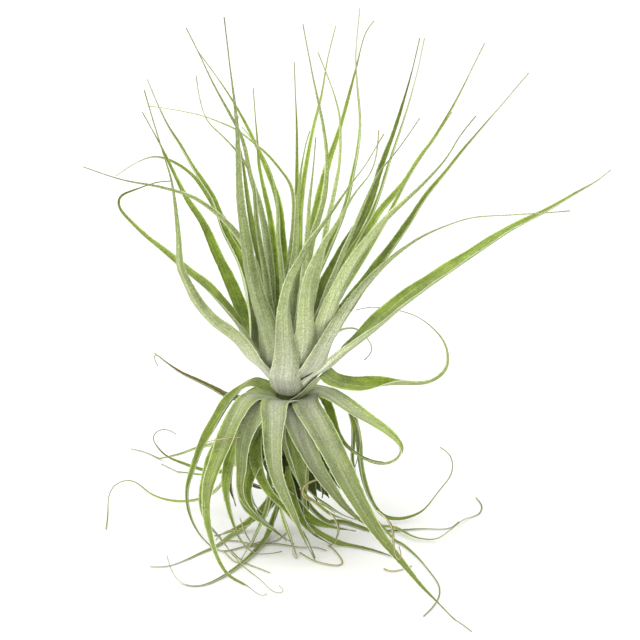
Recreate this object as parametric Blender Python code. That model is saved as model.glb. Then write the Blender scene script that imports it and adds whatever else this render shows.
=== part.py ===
# An air plant with long silvery green leaves, standing free on its bent-down lower leaves.
# Lengths are millimetres until a mesh is made. +Z is up, and the picture looks along +Y.
import math

import bpy
from mathutils import Matrix, Vector
from mathutils.bvhtree import BVHTree

COLLECTION = "tillandsia_gardneri"

# The view that the leaf routes were read from: a long lens, looking 22 degrees down.
VIEW_TILT = math.radians(22)
VIEW_AIM = Vector((15, 0, 124))
VIEW_AIM_UP = 115
VIEW_DISTANCE = 1778
AHEAD = Vector((0, math.cos(VIEW_TILT), -math.sin(VIEW_TILT)))
PICTURE_UP = Vector((0, math.sin(VIEW_TILT), math.cos(VIEW_TILT)))
EYE = VIEW_AIM - AHEAD * VIEW_DISTANCE

# Stem: a short tapering body, as (height, radius) rings from the cut end to the growing tip.
STEM_RINGS = (
    (50, 2.5), (52, 4.6), (58, 5.6), (66, 6.2), (82, 6.2), (91, 5.4), (97, 4.2), (102, 2.6),
    (104, 1.0))
STEM_SIDES = 24

# Blades
BLADE_THICKNESS = 0.7
BLADE_GAP = 0.45
TIP_WIDTH = 0.8
TAPER_POWER = 1.2
TAPERS = {
    "outer_05": 1.5, "outer_06": 1.5, "outer_14": 1.6, "outer_07": 1.5, "outer_11": 2.8,
    "outer_08": 1.7, "outer_12": 1.15, "outer_13": 2, "outer_15": 3.2, "skirt_14": 2,
    "skirt_15": 1.7, "skirt_16": 2.2, "skirt_17": 1.6, "skirt_18": 2, "skirt_19": 2,
    "skirt_23": 1.8, "skirt_24": 2.2}
FOLD_BASE = math.radians(14)
FOLD_MIDDLE = math.radians(28)
ROLL_SHARE = 0.45
EARLY_ROLLS = {"outer_12": 0.2, "outer_15": 0.2, "skirt_24": 0.3, "skirt_23": 0.3, "skirt_22": 0.3}
FLOOR_HEIGHT = 0.25
FLATTEN_BELOW = 7
STATION_LENGTH = 13
STATION_TURN = math.radians(20)
MOST_STATIONS = 24
ROUTE_STEP = 2.0
ROUTE_SMOOTHING = 3

# How the leaf bases nest round the stem
NEST_WIDEST = math.radians(32)
NEST_SWINGS = (0, 5, -5, 10, -10, 15, -15, 20, -20, 25, -25, 30, -30)
SHEATH_GROWTH = 20
SHEATH_BLEND = 32
STEM_GAP = 0.9
HEART_SHEATH = 0.35
HEART_PITCH = 1.7
OUTER_SHEATH = 0.9
OUTER_PITCH = 2.2
UPPER_SWING_COST = 0.05
SHEATH_MARGIN = math.radians(3)
UPPER_FIRST_RADIUS = 6.2
UPPER_TOP = 101
UPPER_LOWEST = 87.5
UPPER_OUTERMOST = 17.5
UPPER_DROP = 1.3
UPPER_SPREAD = 0.85
UNDER_SHEATH = 0.45
SKIRT_SHEATH = 0.66
LOWER_PITCH = 1.8
LOWER_SWING_COST = 0.02
LOWER_FIRST_RADIUS = 10.5
LOWER_CREST = 80.5
LOWER_RISE = 1.4
LOWER_SLOPE = 0.4

# Upper leaves, from the heart outwards: name, flat width, share of the length at full width, how
# much of the inner face the picture shows (1 all of it, -1 the outer face), and the route as
# (right, up, near) in the picture: near is the distance towards the viewer.
HEART_LEAVES = (
    ("heart_01", 10, 0.08, 0.7, (
        (1.5, 118, -8), (5, 145, -11), (6.5, 175, -15), (11.5, 208, -20), (16, 227, -24),
        (19, 246, -28), (23, 262, -30))),
    ("heart_02", 9, 0.08, 0.7, (
        (-2, 118, -9), (0, 140, -15), (2, 155, -20), (2.5, 175, -26), (3, 198, -33),
        (3, 214, -38), (2.5, 230, -43), (2, 244, -47))),
    ("heart_03", 9, 0.08, -0.6, (
        (4, 118, 7), (8, 140, 9), (13, 158, 12), (18, 176.5, 15), (19, 195, 18),
        (17, 212, 20), (11.5, 237, 20), (6.5, 263, 18))),
    ("heart_04", 11, 0.12, 0.9, (
        (6, 118, -6), (8.5, 140, -8), (13.5, 166, -12), (18.5, 189, -17), (26, 213, -24),
        (33, 240, -32), (38, 259, -38), (42, 264.5, -40))),
    ("heart_05", 9, 0.08, 0.4, (
        (8.5, 118, 0), (13, 135, -1), (20, 150, -3), (28, 169.5, -6), (32, 187, -8),
        (35, 204.5, -9), (35.5, 214.5, -9), (33.5, 237, -9), (33, 248, -9), (35, 271, -9))),
    ("heart_06", 9, 0.08, -0.5, (
        (8, 116, 5), (12, 135, 6), (17, 152, 8), (21, 170, 11), (24, 185, 14),
        (25.5, 199, 17), (25, 217, 20), (22.5, 227, 22), (18, 239, 23), (14, 249, 24))),
    ("heart_07", 10, 0.08, -0.8, (
        (0, 114, 9), (2, 135, 13), (4, 155, 18), (4, 169.5, 23), (5, 183, 28), (6, 192, 32),
        (8, 203, 37), (10, 209.5, 40))),
    ("heart_08", 10, 0.08, 0.8, (
        (-7, 116, -5), (-8, 136, -8), (-9, 150, -11), (-11, 168, -15), (-14, 182, -18),
        (-16, 193, -21), (-16.5, 203, -23), (-17.5, 217, -26), (-18.5, 231, -29))),
    ("heart_09", 10, 0.08, 0.8, (
        (-6, 112, -10), (-5, 130, -14), (-5, 152, -19), (-7, 175, -24), (-13, 192, -29),
        (-22, 212, -35), (-31, 228, -39), (-38.5, 239, -43), (-46, 249, -46))),
    ("heart_10", 9, 0.08, -0.8, (
        (6, 112, 10), (8, 135, 15), (9.5, 162, 21), (10, 173, 25), (11, 183, 29),
        (12, 194, 33), (13, 206.5, 38))),
    ("heart_11", 8, 0.05, -0.4, (
        (-6, 112, 8), (-2, 140, 10), (1, 166, 10), (0, 182, 8), (-6, 191, 7), (-12, 198, 6),
        (-18, 203, 5), (-26, 209.5, 3), (-34.5, 213.5, 1), (-43.5, 217, -1),
        (-57.5, 220, -3), (-71, 222, -5))),
    ("heart_12", 8, 0.05, -0.6, (
        (-3, 108, 12), (-5, 135, 17), (-6.5, 155, 22), (-7, 175, 28), (-11, 192, 34),
        (-18, 204, 38), (-24, 211.5, 41))),
    ("middle_01", 11, 0.1, 0.9, (
        (-11, 110, -1), (-13, 125, 0), (-15, 143, 2), (-19, 160, 4), (-21.5, 175, 5),
        (-24, 195, 5), (-26.5, 209, 4), (-26, 217, 3))),
    ("middle_02", 10, 0.05, -0.7, (
        (-10, 108, 8), (-11, 125, 11), (-11.5, 141, 14), (-13, 156, 17), (-16, 172, 20),
        (-20, 185, 22), (-24.5, 206, 24), (-30, 217, 24), (-38.5, 233, 23), (-45, 247, 21),
        (-52, 261, 18))),
    ("middle_03", 9, 0.05, -0.6, (
        (-10, 106, 12), (-13, 135, 20), (-17, 160, 28), (-19.5, 186, 34), (-23, 193.5, 36),
        (-27.5, 200, 37), (-34.5, 207.5, 39), (-41.5, 214.5, 40), (-45.5, 227, 40),
        (-47, 237, 39))),
    ("middle_04", 11, 0.12, 0.9, (
        (11, 112, -8), (18, 130, -12), (27, 148, -17), (35, 162, -21), (41, 175, -24),
        (46.5, 193, -29), (52, 208, -33), (56, 221, -37), (60.5, 237, -41), (65, 256, -45))),
    ("middle_05", 8, 0.05, 0.5, (
        (14, 112, -4), (21, 130, -5), (30, 147, -7), (38, 160, -9), (45, 177, -12),
        (50.5, 195, -15), (55.5, 210, -18), (59.5, 223, -20), (63.5, 238, -22),
        (67.4, 256, -24))),
    ("middle_06", 11, 0.08, 0.7, (
        (16, 110, 1), (25, 130, 0), (35, 150, -2), (45, 168, -5), (50, 174, -7),
        (57.5, 183, -10), (66, 197, -14), (72, 205, -17), (78, 215, -20), (85, 228, -24),
        (92, 242.5, -28), (97.5, 253.5, -31))),
    ("middle_07", 10, 0.08, 0.7, (
        (17, 108, 5), (26, 127, 6), (37, 145, 6), (47.5, 163, 5), (55, 177.5, 4),
        (61, 189, 2), (67, 198, 1), (74, 208, 0), (81, 219, -2))),
    ("middle_08", 8, 0.05, -0.5, (
        (13, 110, 11), (22, 135, 17), (33, 162, 25), (45, 189, 33), (51.5, 197, 36),
        (57.5, 205, 39), (65, 216, 43))),
)
OUTER_LEAVES = (
    ("outer_01", 11, 0.08, -0.6, (
        (-14, 106, 3), (-16, 125, 7), (-20, 144, 10), (-26, 155, 12), (-36.5, 167, 13),
        (-49, 176, 13), (-64.5, 181, 12), (-84, 185, 10), (-103.5, 191.5, 7))),
    ("outer_02", 11, 0.08, 0.8, (
        (-10, 106, -12), (-15, 128, -21), (-25, 148, -31), (-37.5, 170, -42),
        (-48.5, 186.5, -50), (-59, 194, -56), (-68, 196.5, -61), (-77, 193.5, -66),
        (-87, 187, -70))),
    ("outer_03", 13, 0.12, 0.5, (
        (-14, 106, -5), (-19, 121, -9), (-26, 143.5, -14), (-34, 159.5, -17), (-39, 175, -19),
        (-44.5, 184, -21), (-49.5, 192, -22), (-55, 202, -23), (-61, 211.5, -24),
        (-65.5, 221, -25), (-71.5, 235.5, -25))),
    ("outer_04", 13, 0.15, 0.8, (
        (-16, 102, -12), (-23, 116, -18), (-31.5, 134, -25), (-38, 148, -30),
        (-44, 162.5, -34), (-52, 175, -38), (-59, 189.5, -42), (-65.5, 203.5, -46),
        (-74, 219, -50))),
    ("outer_05", 12, 0.15, 0.6, (
        (17, 104, -8), (28, 118, -13), (45, 141.5, -20), (51.5, 150.5, -23), (60, 163, -27),
        (68, 176, -31), (78, 188.5, -35), (86.5, 199.5, -38), (99, 214.5, -42),
        (111, 228.5, -46), (119.5, 238.5, -48))),
    ("outer_06", 12, 0.1, 0.7, (
        (-20, 101.5, 7), (-26, 111.5, 10), (-34.5, 122.5, 12), (-42.5, 131.5, 13),
        (-50.5, 138, 13), (-57.5, 144, 12), (-65, 150.5, 11), (-72.5, 156.5, 9),
        (-79.5, 163.5, 6), (-85, 169.5, 3), (-86.5, 173.5, 1), (-85.5, 177, -1),
        (-81, 179, -4), (-74, 181.5, -7), (-66.5, 184, -10), (-60, 184.5, -12))),
    ("outer_07", 15, 0.1, -0.9, (
        (14, 100, 12), (18.5, 113, 18), (24, 128, 24), (31, 142, 29), (40.5, 155.5, 34),
        (49, 166, 38), (57.5, 174, 41), (66, 182, 43), (78, 195.5, 45), (85, 207, 46),
        (93, 217, 46))),
    ("outer_08", 15, 0.1, -0.9, (
        (7.5, 98, 17), (8.5, 108, 23), (8.6, 117, 29), (8.9, 126, 35), (10, 134.5, 41),
        (13, 143.5, 47), (17, 152, 51), (22, 160, 55), (27, 168.5, 60), (31, 176, 63),
        (35, 181.5, 65), (39.5, 187, 68), (42.5, 194, 70), (44, 203.5, 72), (44.5, 210, 73))),
    ("outer_09", 15, 0.12, -0.9, (
        (-9, 96, 19), (-12, 108, 25), (-17, 124, 32), (-20.5, 138, 37), (-22.5, 151, 41),
        (-25.5, 175, 44), (-27, 214, 43), (-30.5, 245, 36), (-33, 266.5, 29))),
    ("outer_10", 5, 0.1, 0.3, (
        (14, 98, -13), (21, 107, -20), (27.5, 110.5, -26), (31, 111, -28), (35, 109.5, -30),
        (39, 105, -31), (41.5, 101, -31), (39.5, 97, -30), (37, 95, -29))),
    ("outer_11", 15, 0.12, -0.9, (
        (13, 92, 16), (19.5, 103.5, 18), (26.5, 116, 19), (36, 130, 20), (45, 140, 21),
        (55, 149, 24), (66, 156.5, 28), (78, 162, 31), (90.5, 166, 33), (111, 167.5, 34),
        (128, 168.5, 33), (140, 169.5, 32))),
    ("outer_12", 16, 0.25, 0.55, (
        (19, 91.5, 14), (27, 98.5, 12), (36, 105, 8), (46, 113, 3), (56, 121.5, -3),
        (70, 132, -12), (85, 142.5, -15), (96, 150, -17), (111, 160, -19), (128, 169, -22),
        (144.5, 179, -26), (153, 184, -28), (160.5, 190, -30))),
    ("outer_13", 14, 0.2, -0.85, (
        (-19, 94.5, 17), (-27.5, 104, 23), (-39, 113, 30), (-46.5, 122, 35), (-50.5, 129.5, 38),
        (-53, 135, 40), (-55.5, 140.5, 41), (-56, 153, 40), (-57, 166, 38), (-59.5, 185, 34),
        (-63.5, 198.5, 31), (-68, 213, 27), (-73, 230, 23))),
    ("outer_14", 15, 0.1, -0.8, (
        (-1.5, 97, 21), (-2, 110, 27), (-1.7, 122.5, 34), (1.2, 135, 39), (6, 144.5, 42),
        (9, 151, 45), (15, 160, 48), (22, 170, 52), (31, 183.5, 57), (37.5, 192, 60),
        (42, 199.5, 62), (47, 208, 64))),
    ("outer_15", 14, 0.18, 0.85, (
        (20, 87, 9), (28, 84, 10), (40, 82.5, 10), (55, 82.7, 10), (70, 83.5, 8),
        (78.5, 90, 3), (79, 100, -4), (75, 107.5, -10), (65, 116, -17), (57.5, 119, -20),
        (48, 121, -22), (40, 121.5, -24), (33, 120, -25))),
)

# Lower leaves, bent down over the ones before them. A point of two numbers lies on the floor.
UNDER_LEAVES = (
    ("skirt_01", 9, 0.3, 0.8, (
        (-1, 60.5, 14), (1, 49, 17), (4, 37.5, 19), (6.5, 31.5, 19), (7, 27, 17), (5, 24, 14))),
    ("skirt_02", 8, 0.3, 0.7, (
        (-12, 66, 6), (-16, 55, 9), (-19, 42.5, 10), (-19.5, 30, 11), (-18, 23.5, 11),
        (-14, 18.5, 10), (-11, 17, 9))),
    ("skirt_03", 8, 0.1, 0.5, (
        (6, 60, 13), (6, 38, 12), (6, 22, 10), (9, 12, 7), (13.5, 8.5, 5), (25.5, 3, 2),
        (38, 0.5), (51.5, -3.5), (55, -5))),
    ("skirt_04", 8, 0.1, 0.5, (
        (7, 66, -12), (5, 45, -15), (6, 27, -17), (13.5, 17, -21), (25.5, 11.5, -26),
        (42.5, 9), (52, 9.5), (66.5, 10.5), (79.5, 10.5), (84.5, 14))),
    ("skirt_05", 9, 0.1, 0.5, (
        (-5, 66, -12), (-4, 44, -12), (-5, 30, -11), (-11, 21, -11), (-17.5, 15, -13),
        (-25.5, 9, -15), (-36.5, 2), (-44.5, -1.5), (-53, -5.5), (-62, -8.5), (-70, -8.5))),
    ("skirt_06", 8, 0.2, 0.6, (
        (-9, 66, 11), (-9, 46, 14), (-9, 32, 16), (-11, 20, 17), (-14.5, 13, 17),
        (-20, 2.5, 15), (-24.5, -5))),
    ("skirt_07", 8, 0.1, 0.5, (
        (14, 68, -7), (19, 50, -11), (27, 34, -15), (36, 20, -17), (45, 11, -17),
        (52, 7, -16), (63, 5), (71.5, 4.5), (79.5, 10.5), (88, 16), (93.5, 17), (96, 22),
        (93, 26))),
    ("skirt_08", 8, 0.1, 0.5, (
        (14, 66, 7), (19, 50, 9), (28, 34, 9), (38, 20, 4), (46, 11, -3), (53, 4.5),
        (62, -2), (69.5, -10.5), (74.5, -18), (74.5, -23.5), (71.5, -28.5), (66.5, -33.5))),
    ("skirt_09", 8, 0.1, 0.5, (
        (0, 62, -14), (-1, 42, -17), (-4, 26, -17), (-8, 14, -15), (-13.5, 3.5),
        (-18, -1.5), (-25.5, -8), (-36.5, -15), (-44.5, -18), (-51, -18), (-55.5, -15),
        (-59, -8.5), (-61.5, -2.5))),
    ("skirt_10", 8, 0.1, 0.3, (
        (-14, 74, -13), (-24, 56, -23), (-30, 40, -29), (-36, 30, -33), (-43.5, 25.5, -37),
        (-52.5, 24, -41), (-62, 25, -45), (-70, 28, -48), (-76.5, 33.5, -49), (-80.5, 35, -48),
        (-85, 34, -46), (-89, 31, -42), (-91, 25.5, -37), (-91, 19, -33), (-92, 10))),
    ("skirt_11", 8, 0.1, 0.3, (
        (-13, 76, -20), (-22, 58, -32), (-28, 44, -40), (-32.5, 39, -45), (-42, 39.5, -52),
        (-50, 42, -58), (-55.5, 44, -61), (-62, 47, -65), (-66, 51, -67), (-69, 56.5, -68),
        (-66, 60, -68), (-61, 60.5, -67), (-57, 58, -66))),
    ("skirt_12", 7, 0.05, 0.3, (
        (-9, 80, -18), (-17, 66, -32), (-26, 58, -46), (-36.5, 53, -63), (-47, 50.5, -80),
        (-55.5, 47.5, -92), (-63.5, 46, -103), (-73, 45, -115), (-79.5, 46, -119))),
    ("skirt_13", 7, 0.05, 0.3, (
        (-4, 78, -19), (-10, 62, -34), (-20, 48, -48), (-32, 40, -60), (-43, 37.5, -71),
        (-51, 38.5, -82), (-64.5, 40, -99))),
)
SKIRT_LEAVES = (
    ("skirt_14", 13, 0.2, 0.9, (
        (-14, 74, 17), (-18, 66, 22), (-20.5, 60, 25), (-23, 49, 27), (-23.5, 39, 27),
        (-24.5, 33, 26), (-23, 25.5, 25), (-17, 18, 22), (-9, 11, 14), (2, 3, 0))),
    ("skirt_15", 11, 0.3, 0.8, (
        (-17, 76, 9), (-20.5, 70, 12), (-24, 60.5, 14), (-28, 47.5, 15), (-31, 33, 15),
        (-30, 21.5, 13), (-27, 11, 10), (-24.5, 5.5, 7), (-17.5, -1.5), (-9.5, -1.5),
        (-4, -0.5))),
    ("skirt_16", 10, 0.1, 0.6, (
        (-17, 80, 3), (-24, 73.5, 7), (-28.5, 65.5, 10), (-34, 55, 12), (-39.5, 45, 14),
        (-42, 37, 14), (-44, 26, 14), (-42.5, 16, 13), (-38, 10, 11), (-33, 4, 8), (-29, -1.5),
        (-24.5, -6.5), (-19, -11.5), (-13.5, -16), (-9, -20.5), (-4.5, -22), (-3, -20.5),
        (-5.5, -18))),
    ("skirt_17", 11, 0.3, 0.9, (
        (-19, 77, 10), (-26, 67, 17), (-30.5, 56.5, 21), (-35.5, 44.5, 25), (-39.5, 33.5, 27),
        (-41, 21.5, 28), (-39.5, 9.5, 29), (-35.5, -3.5, 32), (-30.5, -11.5, 36), (-21.5, -18),
        (-13.5, -23.5), (-11.5, -22))),
    ("skirt_18", 11, 0.2, 0.7, (
        (-19, 84.5, -6), (-25.5, 79, -10), (-30.5, 73, -12), (-37.3, 62, -15), (-42.8, 53, -17),
        (-47.5, 41, -19), (-51, 29.5, -19), (-50, 19, -16), (-46, 9.5, -10), (-38, 0.5))),
    ("skirt_19", 10, 0.2, 0.5, (
        (24.5, 78.5, -10), (29, 72, -12), (31, 67, -13), (33, 55, -15), (34, 45, -16),
        (36, 35, -17), (40, 25, -19), (46, 17, -21), (52.5, 15.5, -24), (58, 16, -26),
        (66.5, 19.5, -28), (71.5, 25.5, -29), (76.5, 32, -30), (80.5, 37, -31),
        (81.5, 43.5, -32), (79.5, 48.5, -32), (75, 51.5, -32))),
    ("skirt_20", 7, 0.2, 0.5, (
        (-20, 78, -14), (-25, 75, -18), (-30.5, 75.5, -21), (-39, 80.5, -24), (-47, 84.5, -27),
        (-55, 88.5, -30), (-63, 94.5, -33), (-68, 98.5, -35))),
    ("skirt_21", 12, 0.35, 0.9, (
        (2.5, 68, 20), (5.5, 55.5, 27), (11, 43, 32), (19, 31.5, 34), (27, 21.5, 35),
        (36.5, 13.5, 36), (41, 10.5, 36))),
    ("skirt_22", 14, 0.2, 0.95, (
        (-7, 72, 21), (-6.5, 65, 27), (-7, 49, 35), (-5.5, 37.5, 37), (-1, 25.5, 35),
        (2.5, 17.5, 31), (7.5, 5, 22), (12.5, -5))),
    ("skirt_23", 13.5, 0.35, 0.95, (
        (8, 73, 20), (12.5, 65, 27), (20.5, 49, 37), (28.5, 33, 45), (36.5, 19, 51),
        (44.5, 7, 55), (52, -2, 59), (57.5, -8.5, 62), (65, -17.5, 67), (75, -27.5, 81),
        (82.5, -35), (91, -41))),
    ("skirt_24", 13, 0.12, 0.8, (
        (20, 79, 6), (25, 75, 8), (35, 67, 11), (45.5, 60.5, 12), (52.5, 55, 11),
        (55.5, 50, 9), (52, 45, 6), (44.5, 43.5, 3), (36.5, 46, 0), (29.5, 51, -3),
        (24, 58, -5), (20.5, 65, -6))),
)

# Moving a leaf clear of the ones before it
CLEAR_SHIFTS = (1, 2, 3, 4.5, 6, 8, 10, 13)
CLEAR_MOST_ASIDE = 3
CLEAR_REACHES = (22, 45)
CLEAR_START = 10
CLEAR_IN_BASE = 7
CLEAR_ROUNDS = 14


def remove_all():
    for obj in list(bpy.data.objects):
        bpy.data.objects.remove(obj)


def plain_material(name, colour, roughness):
    material = bpy.data.materials.new(name)
    material.use_nodes = True
    shader = material.node_tree.nodes["Principled BSDF"]
    shader.inputs["Base Color"].default_value = (*colour, 1)
    shader.inputs["Roughness"].default_value = roughness
    shader.inputs["Metallic"].default_value = 0
    return material


def smoothstep(value):
    value = min(max(value, 0), 1)
    return value * value * (3 - 2 * value)


def picture_ray(right, up):
    return AHEAD * VIEW_DISTANCE + Vector((right - VIEW_AIM.x, 0, 0)) + PICTURE_UP * (up - VIEW_AIM_UP)


def seen_point(right, up, near=None):
    """The place of a point of the picture, at a distance towards the viewer or on the floor."""
    ray = picture_ray(right, up)
    if near is None:
        return EYE + ray * ((FLOOR_HEIGHT - EYE.z) / ray.z)
    return EYE + ray * ((-near - EYE.y) / ray.y)


def stem_radius(height):
    for (low, r_low), (high, r_high) in zip(STEM_RINGS, STEM_RINGS[1:]):
        if low <= height <= high:
            return r_low + (r_high - r_low) * (height - low) / (high - low)
    return STEM_RINGS[-1][1]


def upper_base(radius):
    """Heights and radii of a leaf base that rises off the stem and nests in its neighbours."""
    height = UPPER_LOWEST + (UPPER_OUTERMOST - radius) * UPPER_DROP
    start = stem_radius(height) + STEM_GAP
    return [
        (start + (radius - start) * s ** UPPER_SPREAD, height + (UPPER_TOP - height) * s)
        for s in (0, 0.12, 0.35, 0.65, 1)
    ]


def lower_base(radius):
    """The same for a leaf that rises a little and bends down over its crest."""
    crest = LOWER_CREST + (radius - LOWER_FIRST_RADIUS) * LOWER_RISE
    start = stem_radius(crest) + STEM_GAP
    height = crest - (radius - start) * LOWER_SLOPE
    return [
        (start + (radius - start) * s, height + (crest - height) * math.sin(s * math.pi / 2))
        for s in (0, 0.25, 0.55, 0.85, 1)
    ]


def nest_radius(bearing, sheath, placed, radius, pitch):
    """The smallest base radius at this bearing that clears the leaves before it."""
    while True:
        half = min(sheath / 2 / radius, NEST_WIDEST)
        under = [
            other
            for other_bearing, other, other_half in placed
            if abs(math.remainder(bearing - other_bearing, math.tau)) < half + other_half + SHEATH_MARGIN
            and radius < other + pitch - 1e-6
        ]
        if not under:
            return radius, half
        radius = max(under) + pitch


def nest(groups, first_radius, swing_cost):
    """Bearing, radius and half turn of each leaf base, from the inside outwards. A leaf swings
    sideways where that gives it a place further in."""
    placed = []
    for leaves, sheath_share, pitch in groups:
        for name, width, full, facing, route in leaves:
            start = seen_point(*route[0])
            best = None
            for swing in NEST_SWINGS:
                bearing = math.atan2(start.y, start.x) + math.radians(swing)
                sheath = width * sheath_share
                radius, half = nest_radius(bearing, sheath, placed, first_radius, pitch)
                cost = radius + abs(swing) * swing_cost
                if best is None or cost < best[0] - 1e-6:
                    best = (cost, bearing, radius, half)
            placed.append(best[1:])
    return placed


def spline(points):
    """A centripetal Catmull-Rom curve through the points."""
    points = [points[0] * 2 - points[1], *points, points[-1] * 2 - points[-2]]
    curve = []
    for p0, p1, p2, p3 in zip(points, points[1:], points[2:], points[3:]):
        t1 = max((p1 - p0).length, 1e-6) ** 0.5
        t2 = t1 + max((p2 - p1).length, 1e-6) ** 0.5
        t3 = t2 + max((p3 - p2).length, 1e-6) ** 0.5
        steps = max(2, round((p2 - p1).length))
        for step in range(steps):
            t = t1 + (t2 - t1) * step / steps
            a1 = p0.lerp(p1, t / t1)
            a2 = p1.lerp(p2, (t - t1) / (t2 - t1))
            a3 = p2.lerp(p3, (t - t2) / (t3 - t2))
            b1 = a1.lerp(a2, t / t2)
            b2 = a2.lerp(a3, (t - t1) / (t3 - t1))
            curve.append(b1.lerp(b2, (t - t1) / (t2 - t1)))
    return curve + [points[-2]]


def resample(curve, costs):
    """Points along the curve at equal shares of the running cost, and how many the cost asks for."""
    total = costs[-1]
    count = max(2, round(total))
    result = []
    place = 0
    for step in range(count + 1):
        target = total * step / count
        while place < len(costs) - 2 and costs[place + 1] < target:
            place += 1
        span = max(costs[place + 1] - costs[place], 1e-9)
        result.append(curve[place].lerp(curve[place + 1], min(max((target - costs[place]) / span, 0), 1)))
    return result


def running(values):
    total = [0]
    for value in values:
        total.append(total[-1] + value)
    return total


def even_route(points):
    curve = spline(points)
    steps = [(b - a).length / ROUTE_STEP for a, b in zip(curve, curve[1:])]
    curve = resample(curve, running(steps))
    for _ in range(ROUTE_SMOOTHING):
        inner = [(a + b * 2 + c) / 4 for a, b, c in zip(curve, curve[1:], curve[2:])]
        curve = [curve[0], *inner, curve[-1]]
    for point in curve:
        point.z = max(point.z, FLOOR_HEIGHT)
    return curve


def stations(curve):
    """Fewer points of the route: close where it turns, wide apart where it runs straight."""
    costs = [0]
    for index in range(1, len(curve)):
        step = curve[index] - curve[index - 1]
        turn = 0
        if index + 1 < len(curve):
            turn = step.angle(curve[index + 1] - curve[index], 0)
        costs.append(costs[-1] + step.length / STATION_LENGTH + turn / STATION_TURN)
    if costs[-1] > MOST_STATIONS:
        costs = [cost * MOST_STATIONS / costs[-1] for cost in costs]
    return resample(curve, costs)


class Blade:
    """One leaf: its route, and from that the three points across each station."""

    def __init__(self, spec, bearing, radius, half_turn, base):
        self.name, self.width, self.full, self.facing, route = spec
        self.bearing = bearing
        self.half_turn = half_turn
        away = Vector((math.cos(bearing), math.sin(bearing), 0))
        root = [away * r + Vector((0, 0, z)) for r, z in base(radius)]
        self.root_length = sum((b - a).length for a, b in zip(root, root[1:]))
        self.curve = even_route(root + [seen_point(*point) for point in route])

    def half_width(self, share, along, radius):
        """The sheath keeps to its own sector round the stem, then the blade widens and tapers."""
        taper = min(1, (1 - share) / (1 - self.full)) ** TAPERS.get(self.name, TAPER_POWER)
        blade = max(self.width * taper, TIP_WIDTH) / 2
        sheath = min(self.half_turn * radius, blade)
        return sheath + (blade - sheath) * smoothstep((along - self.root_length) / SHEATH_GROWTH)

    def tangents(self, points):
        ends = [points[0], *points, points[-1]]
        return [(c - a).normalized() for a, c in zip(ends, ends[2:])]

    def sides(self, points, tangents, shares):
        """The width direction at each station: level at the stem, then carried along the route
        and rolled until the picture shows as much of the inner face as it should."""
        side = Vector((-math.sin(self.bearing), math.cos(self.bearing), 0))
        carried = []
        last = tangents[0]
        for tangent in tangents:
            side = last.rotation_difference(tangent) @ side
            side = (side - tangent * side.dot(tangent)).normalized()
            carried.append(side)
            last = tangent
        full_roll = EARLY_ROLLS.get(self.name, ROLL_SHARE)
        middle = min(range(len(shares)), key=lambda index: abs(shares[index] - full_roll))
        tangent = tangents[middle]
        inner = tangent.cross(carried[middle])
        toward = -AHEAD + tangent * AHEAD.dot(tangent)
        toward.normalize()
        angle = math.atan2(tangent.dot(toward.cross(inner)), toward.dot(inner))
        wanted = math.copysign(math.acos(self.facing), angle)
        roll = math.remainder(wanted - angle, math.tau)
        start = self.root_length / self.length
        return [
            Matrix.Rotation(roll * smoothstep((share - start) / (full_roll - start)), 3, tangent) @ side
            for share, tangent, side in zip(shares, tangents, carried)
        ]

    def across(self, curve):
        """Left, middle and right points and the tangent of every station."""
        points = stations(curve)
        lengths = running((b - a).length for a, b in zip(points, points[1:]))
        self.length = lengths[-1]
        shares = [length / self.length for length in lengths]
        tangents = self.tangents(points)
        sides = self.sides(points, tangents, shares)
        rows = []
        for point, tangent, side, share, length in zip(points, tangents, sides, shares, lengths):
            radius = max(math.hypot(point.x, point.y), 1)
            half = self.half_width(share, length, radius)
            inner = tangent.cross(side)
            fold = FOLD_BASE + (FOLD_MIDDLE - FOLD_BASE) * smoothstep(share / 0.4)
            fold *= smoothstep((point.z - FLOOR_HEIGHT) / FLATTEN_BELOW)
            lift = inner * math.sin(fold) * half
            reach = side * math.cos(fold) * half
            free = smoothstep((length - self.root_length) / SHEATH_BLEND)
            turn = min(half / radius, NEST_WIDEST)
            left = (Matrix.Rotation(-turn, 3, "Z") @ point).lerp(point - reach + lift, free)
            right = (Matrix.Rotation(turn, 3, "Z") @ point).lerp(point + reach + lift, free)
            rows.append((left, point, right, tangent))
        return rows

    def solid(self, curve, half):
        """Points and faces of the blade, this far to each side of its middle surface."""
        points = []
        for left, middle, right, tangent in self.across(curve):
            at_left = tangent.cross(middle - left).normalized()
            at_right = tangent.cross(right - middle).normalized()
            at_middle = (at_left + at_right).normalized()
            for sign in (half, -half):
                points += [left + at_left * sign, middle + at_middle * sign, right + at_right * sign]
        for point in points:
            point.z = max(point.z, 0)
        faces = []
        for row in range(0, len(points) - 6, 6):
            for a, b, reverse in ((0, 1, False), (1, 2, False), (3, 4, True), (4, 5, True)):
                quad = (row + a, row + b, row + 6 + b, row + 6 + a)
                split = [(quad[0], quad[1], quad[2]), (quad[0], quad[2], quad[3])]
                faces += split if reverse else [tri[::-1] for tri in split]
            for a, b in ((3, 0), (2, 5)):
                faces += [(row + a, row + 6 + b, row + b), (row + a, row + 6 + a, row + 6 + b)]
        last = len(points) - 6
        for row, flip in ((0, True), (last, False)):
            for a in (0, 1):
                quad = (row + a, row + a + 1, row + a + 4, row + a + 3)
                split = [(quad[0], quad[1], quad[2]), (quad[0], quad[2], quad[3])]
                faces += split if flip else [tri[::-1] for tri in split]
        return points, faces


def tree_of(points, faces):
    return BVHTree.FromPolygons(points, faces)


def clashes(blade, curve, tree):
    """Stations at which the blade, made thicker by the gap, meets the leaves before it."""
    points, faces = blade.solid(curve, BLADE_THICKNESS / 2 + BLADE_GAP)
    pairs = tree_of(points, faces).overlap(tree)
    return [faces[face][0] // 6 for face, _ in pairs]


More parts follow.
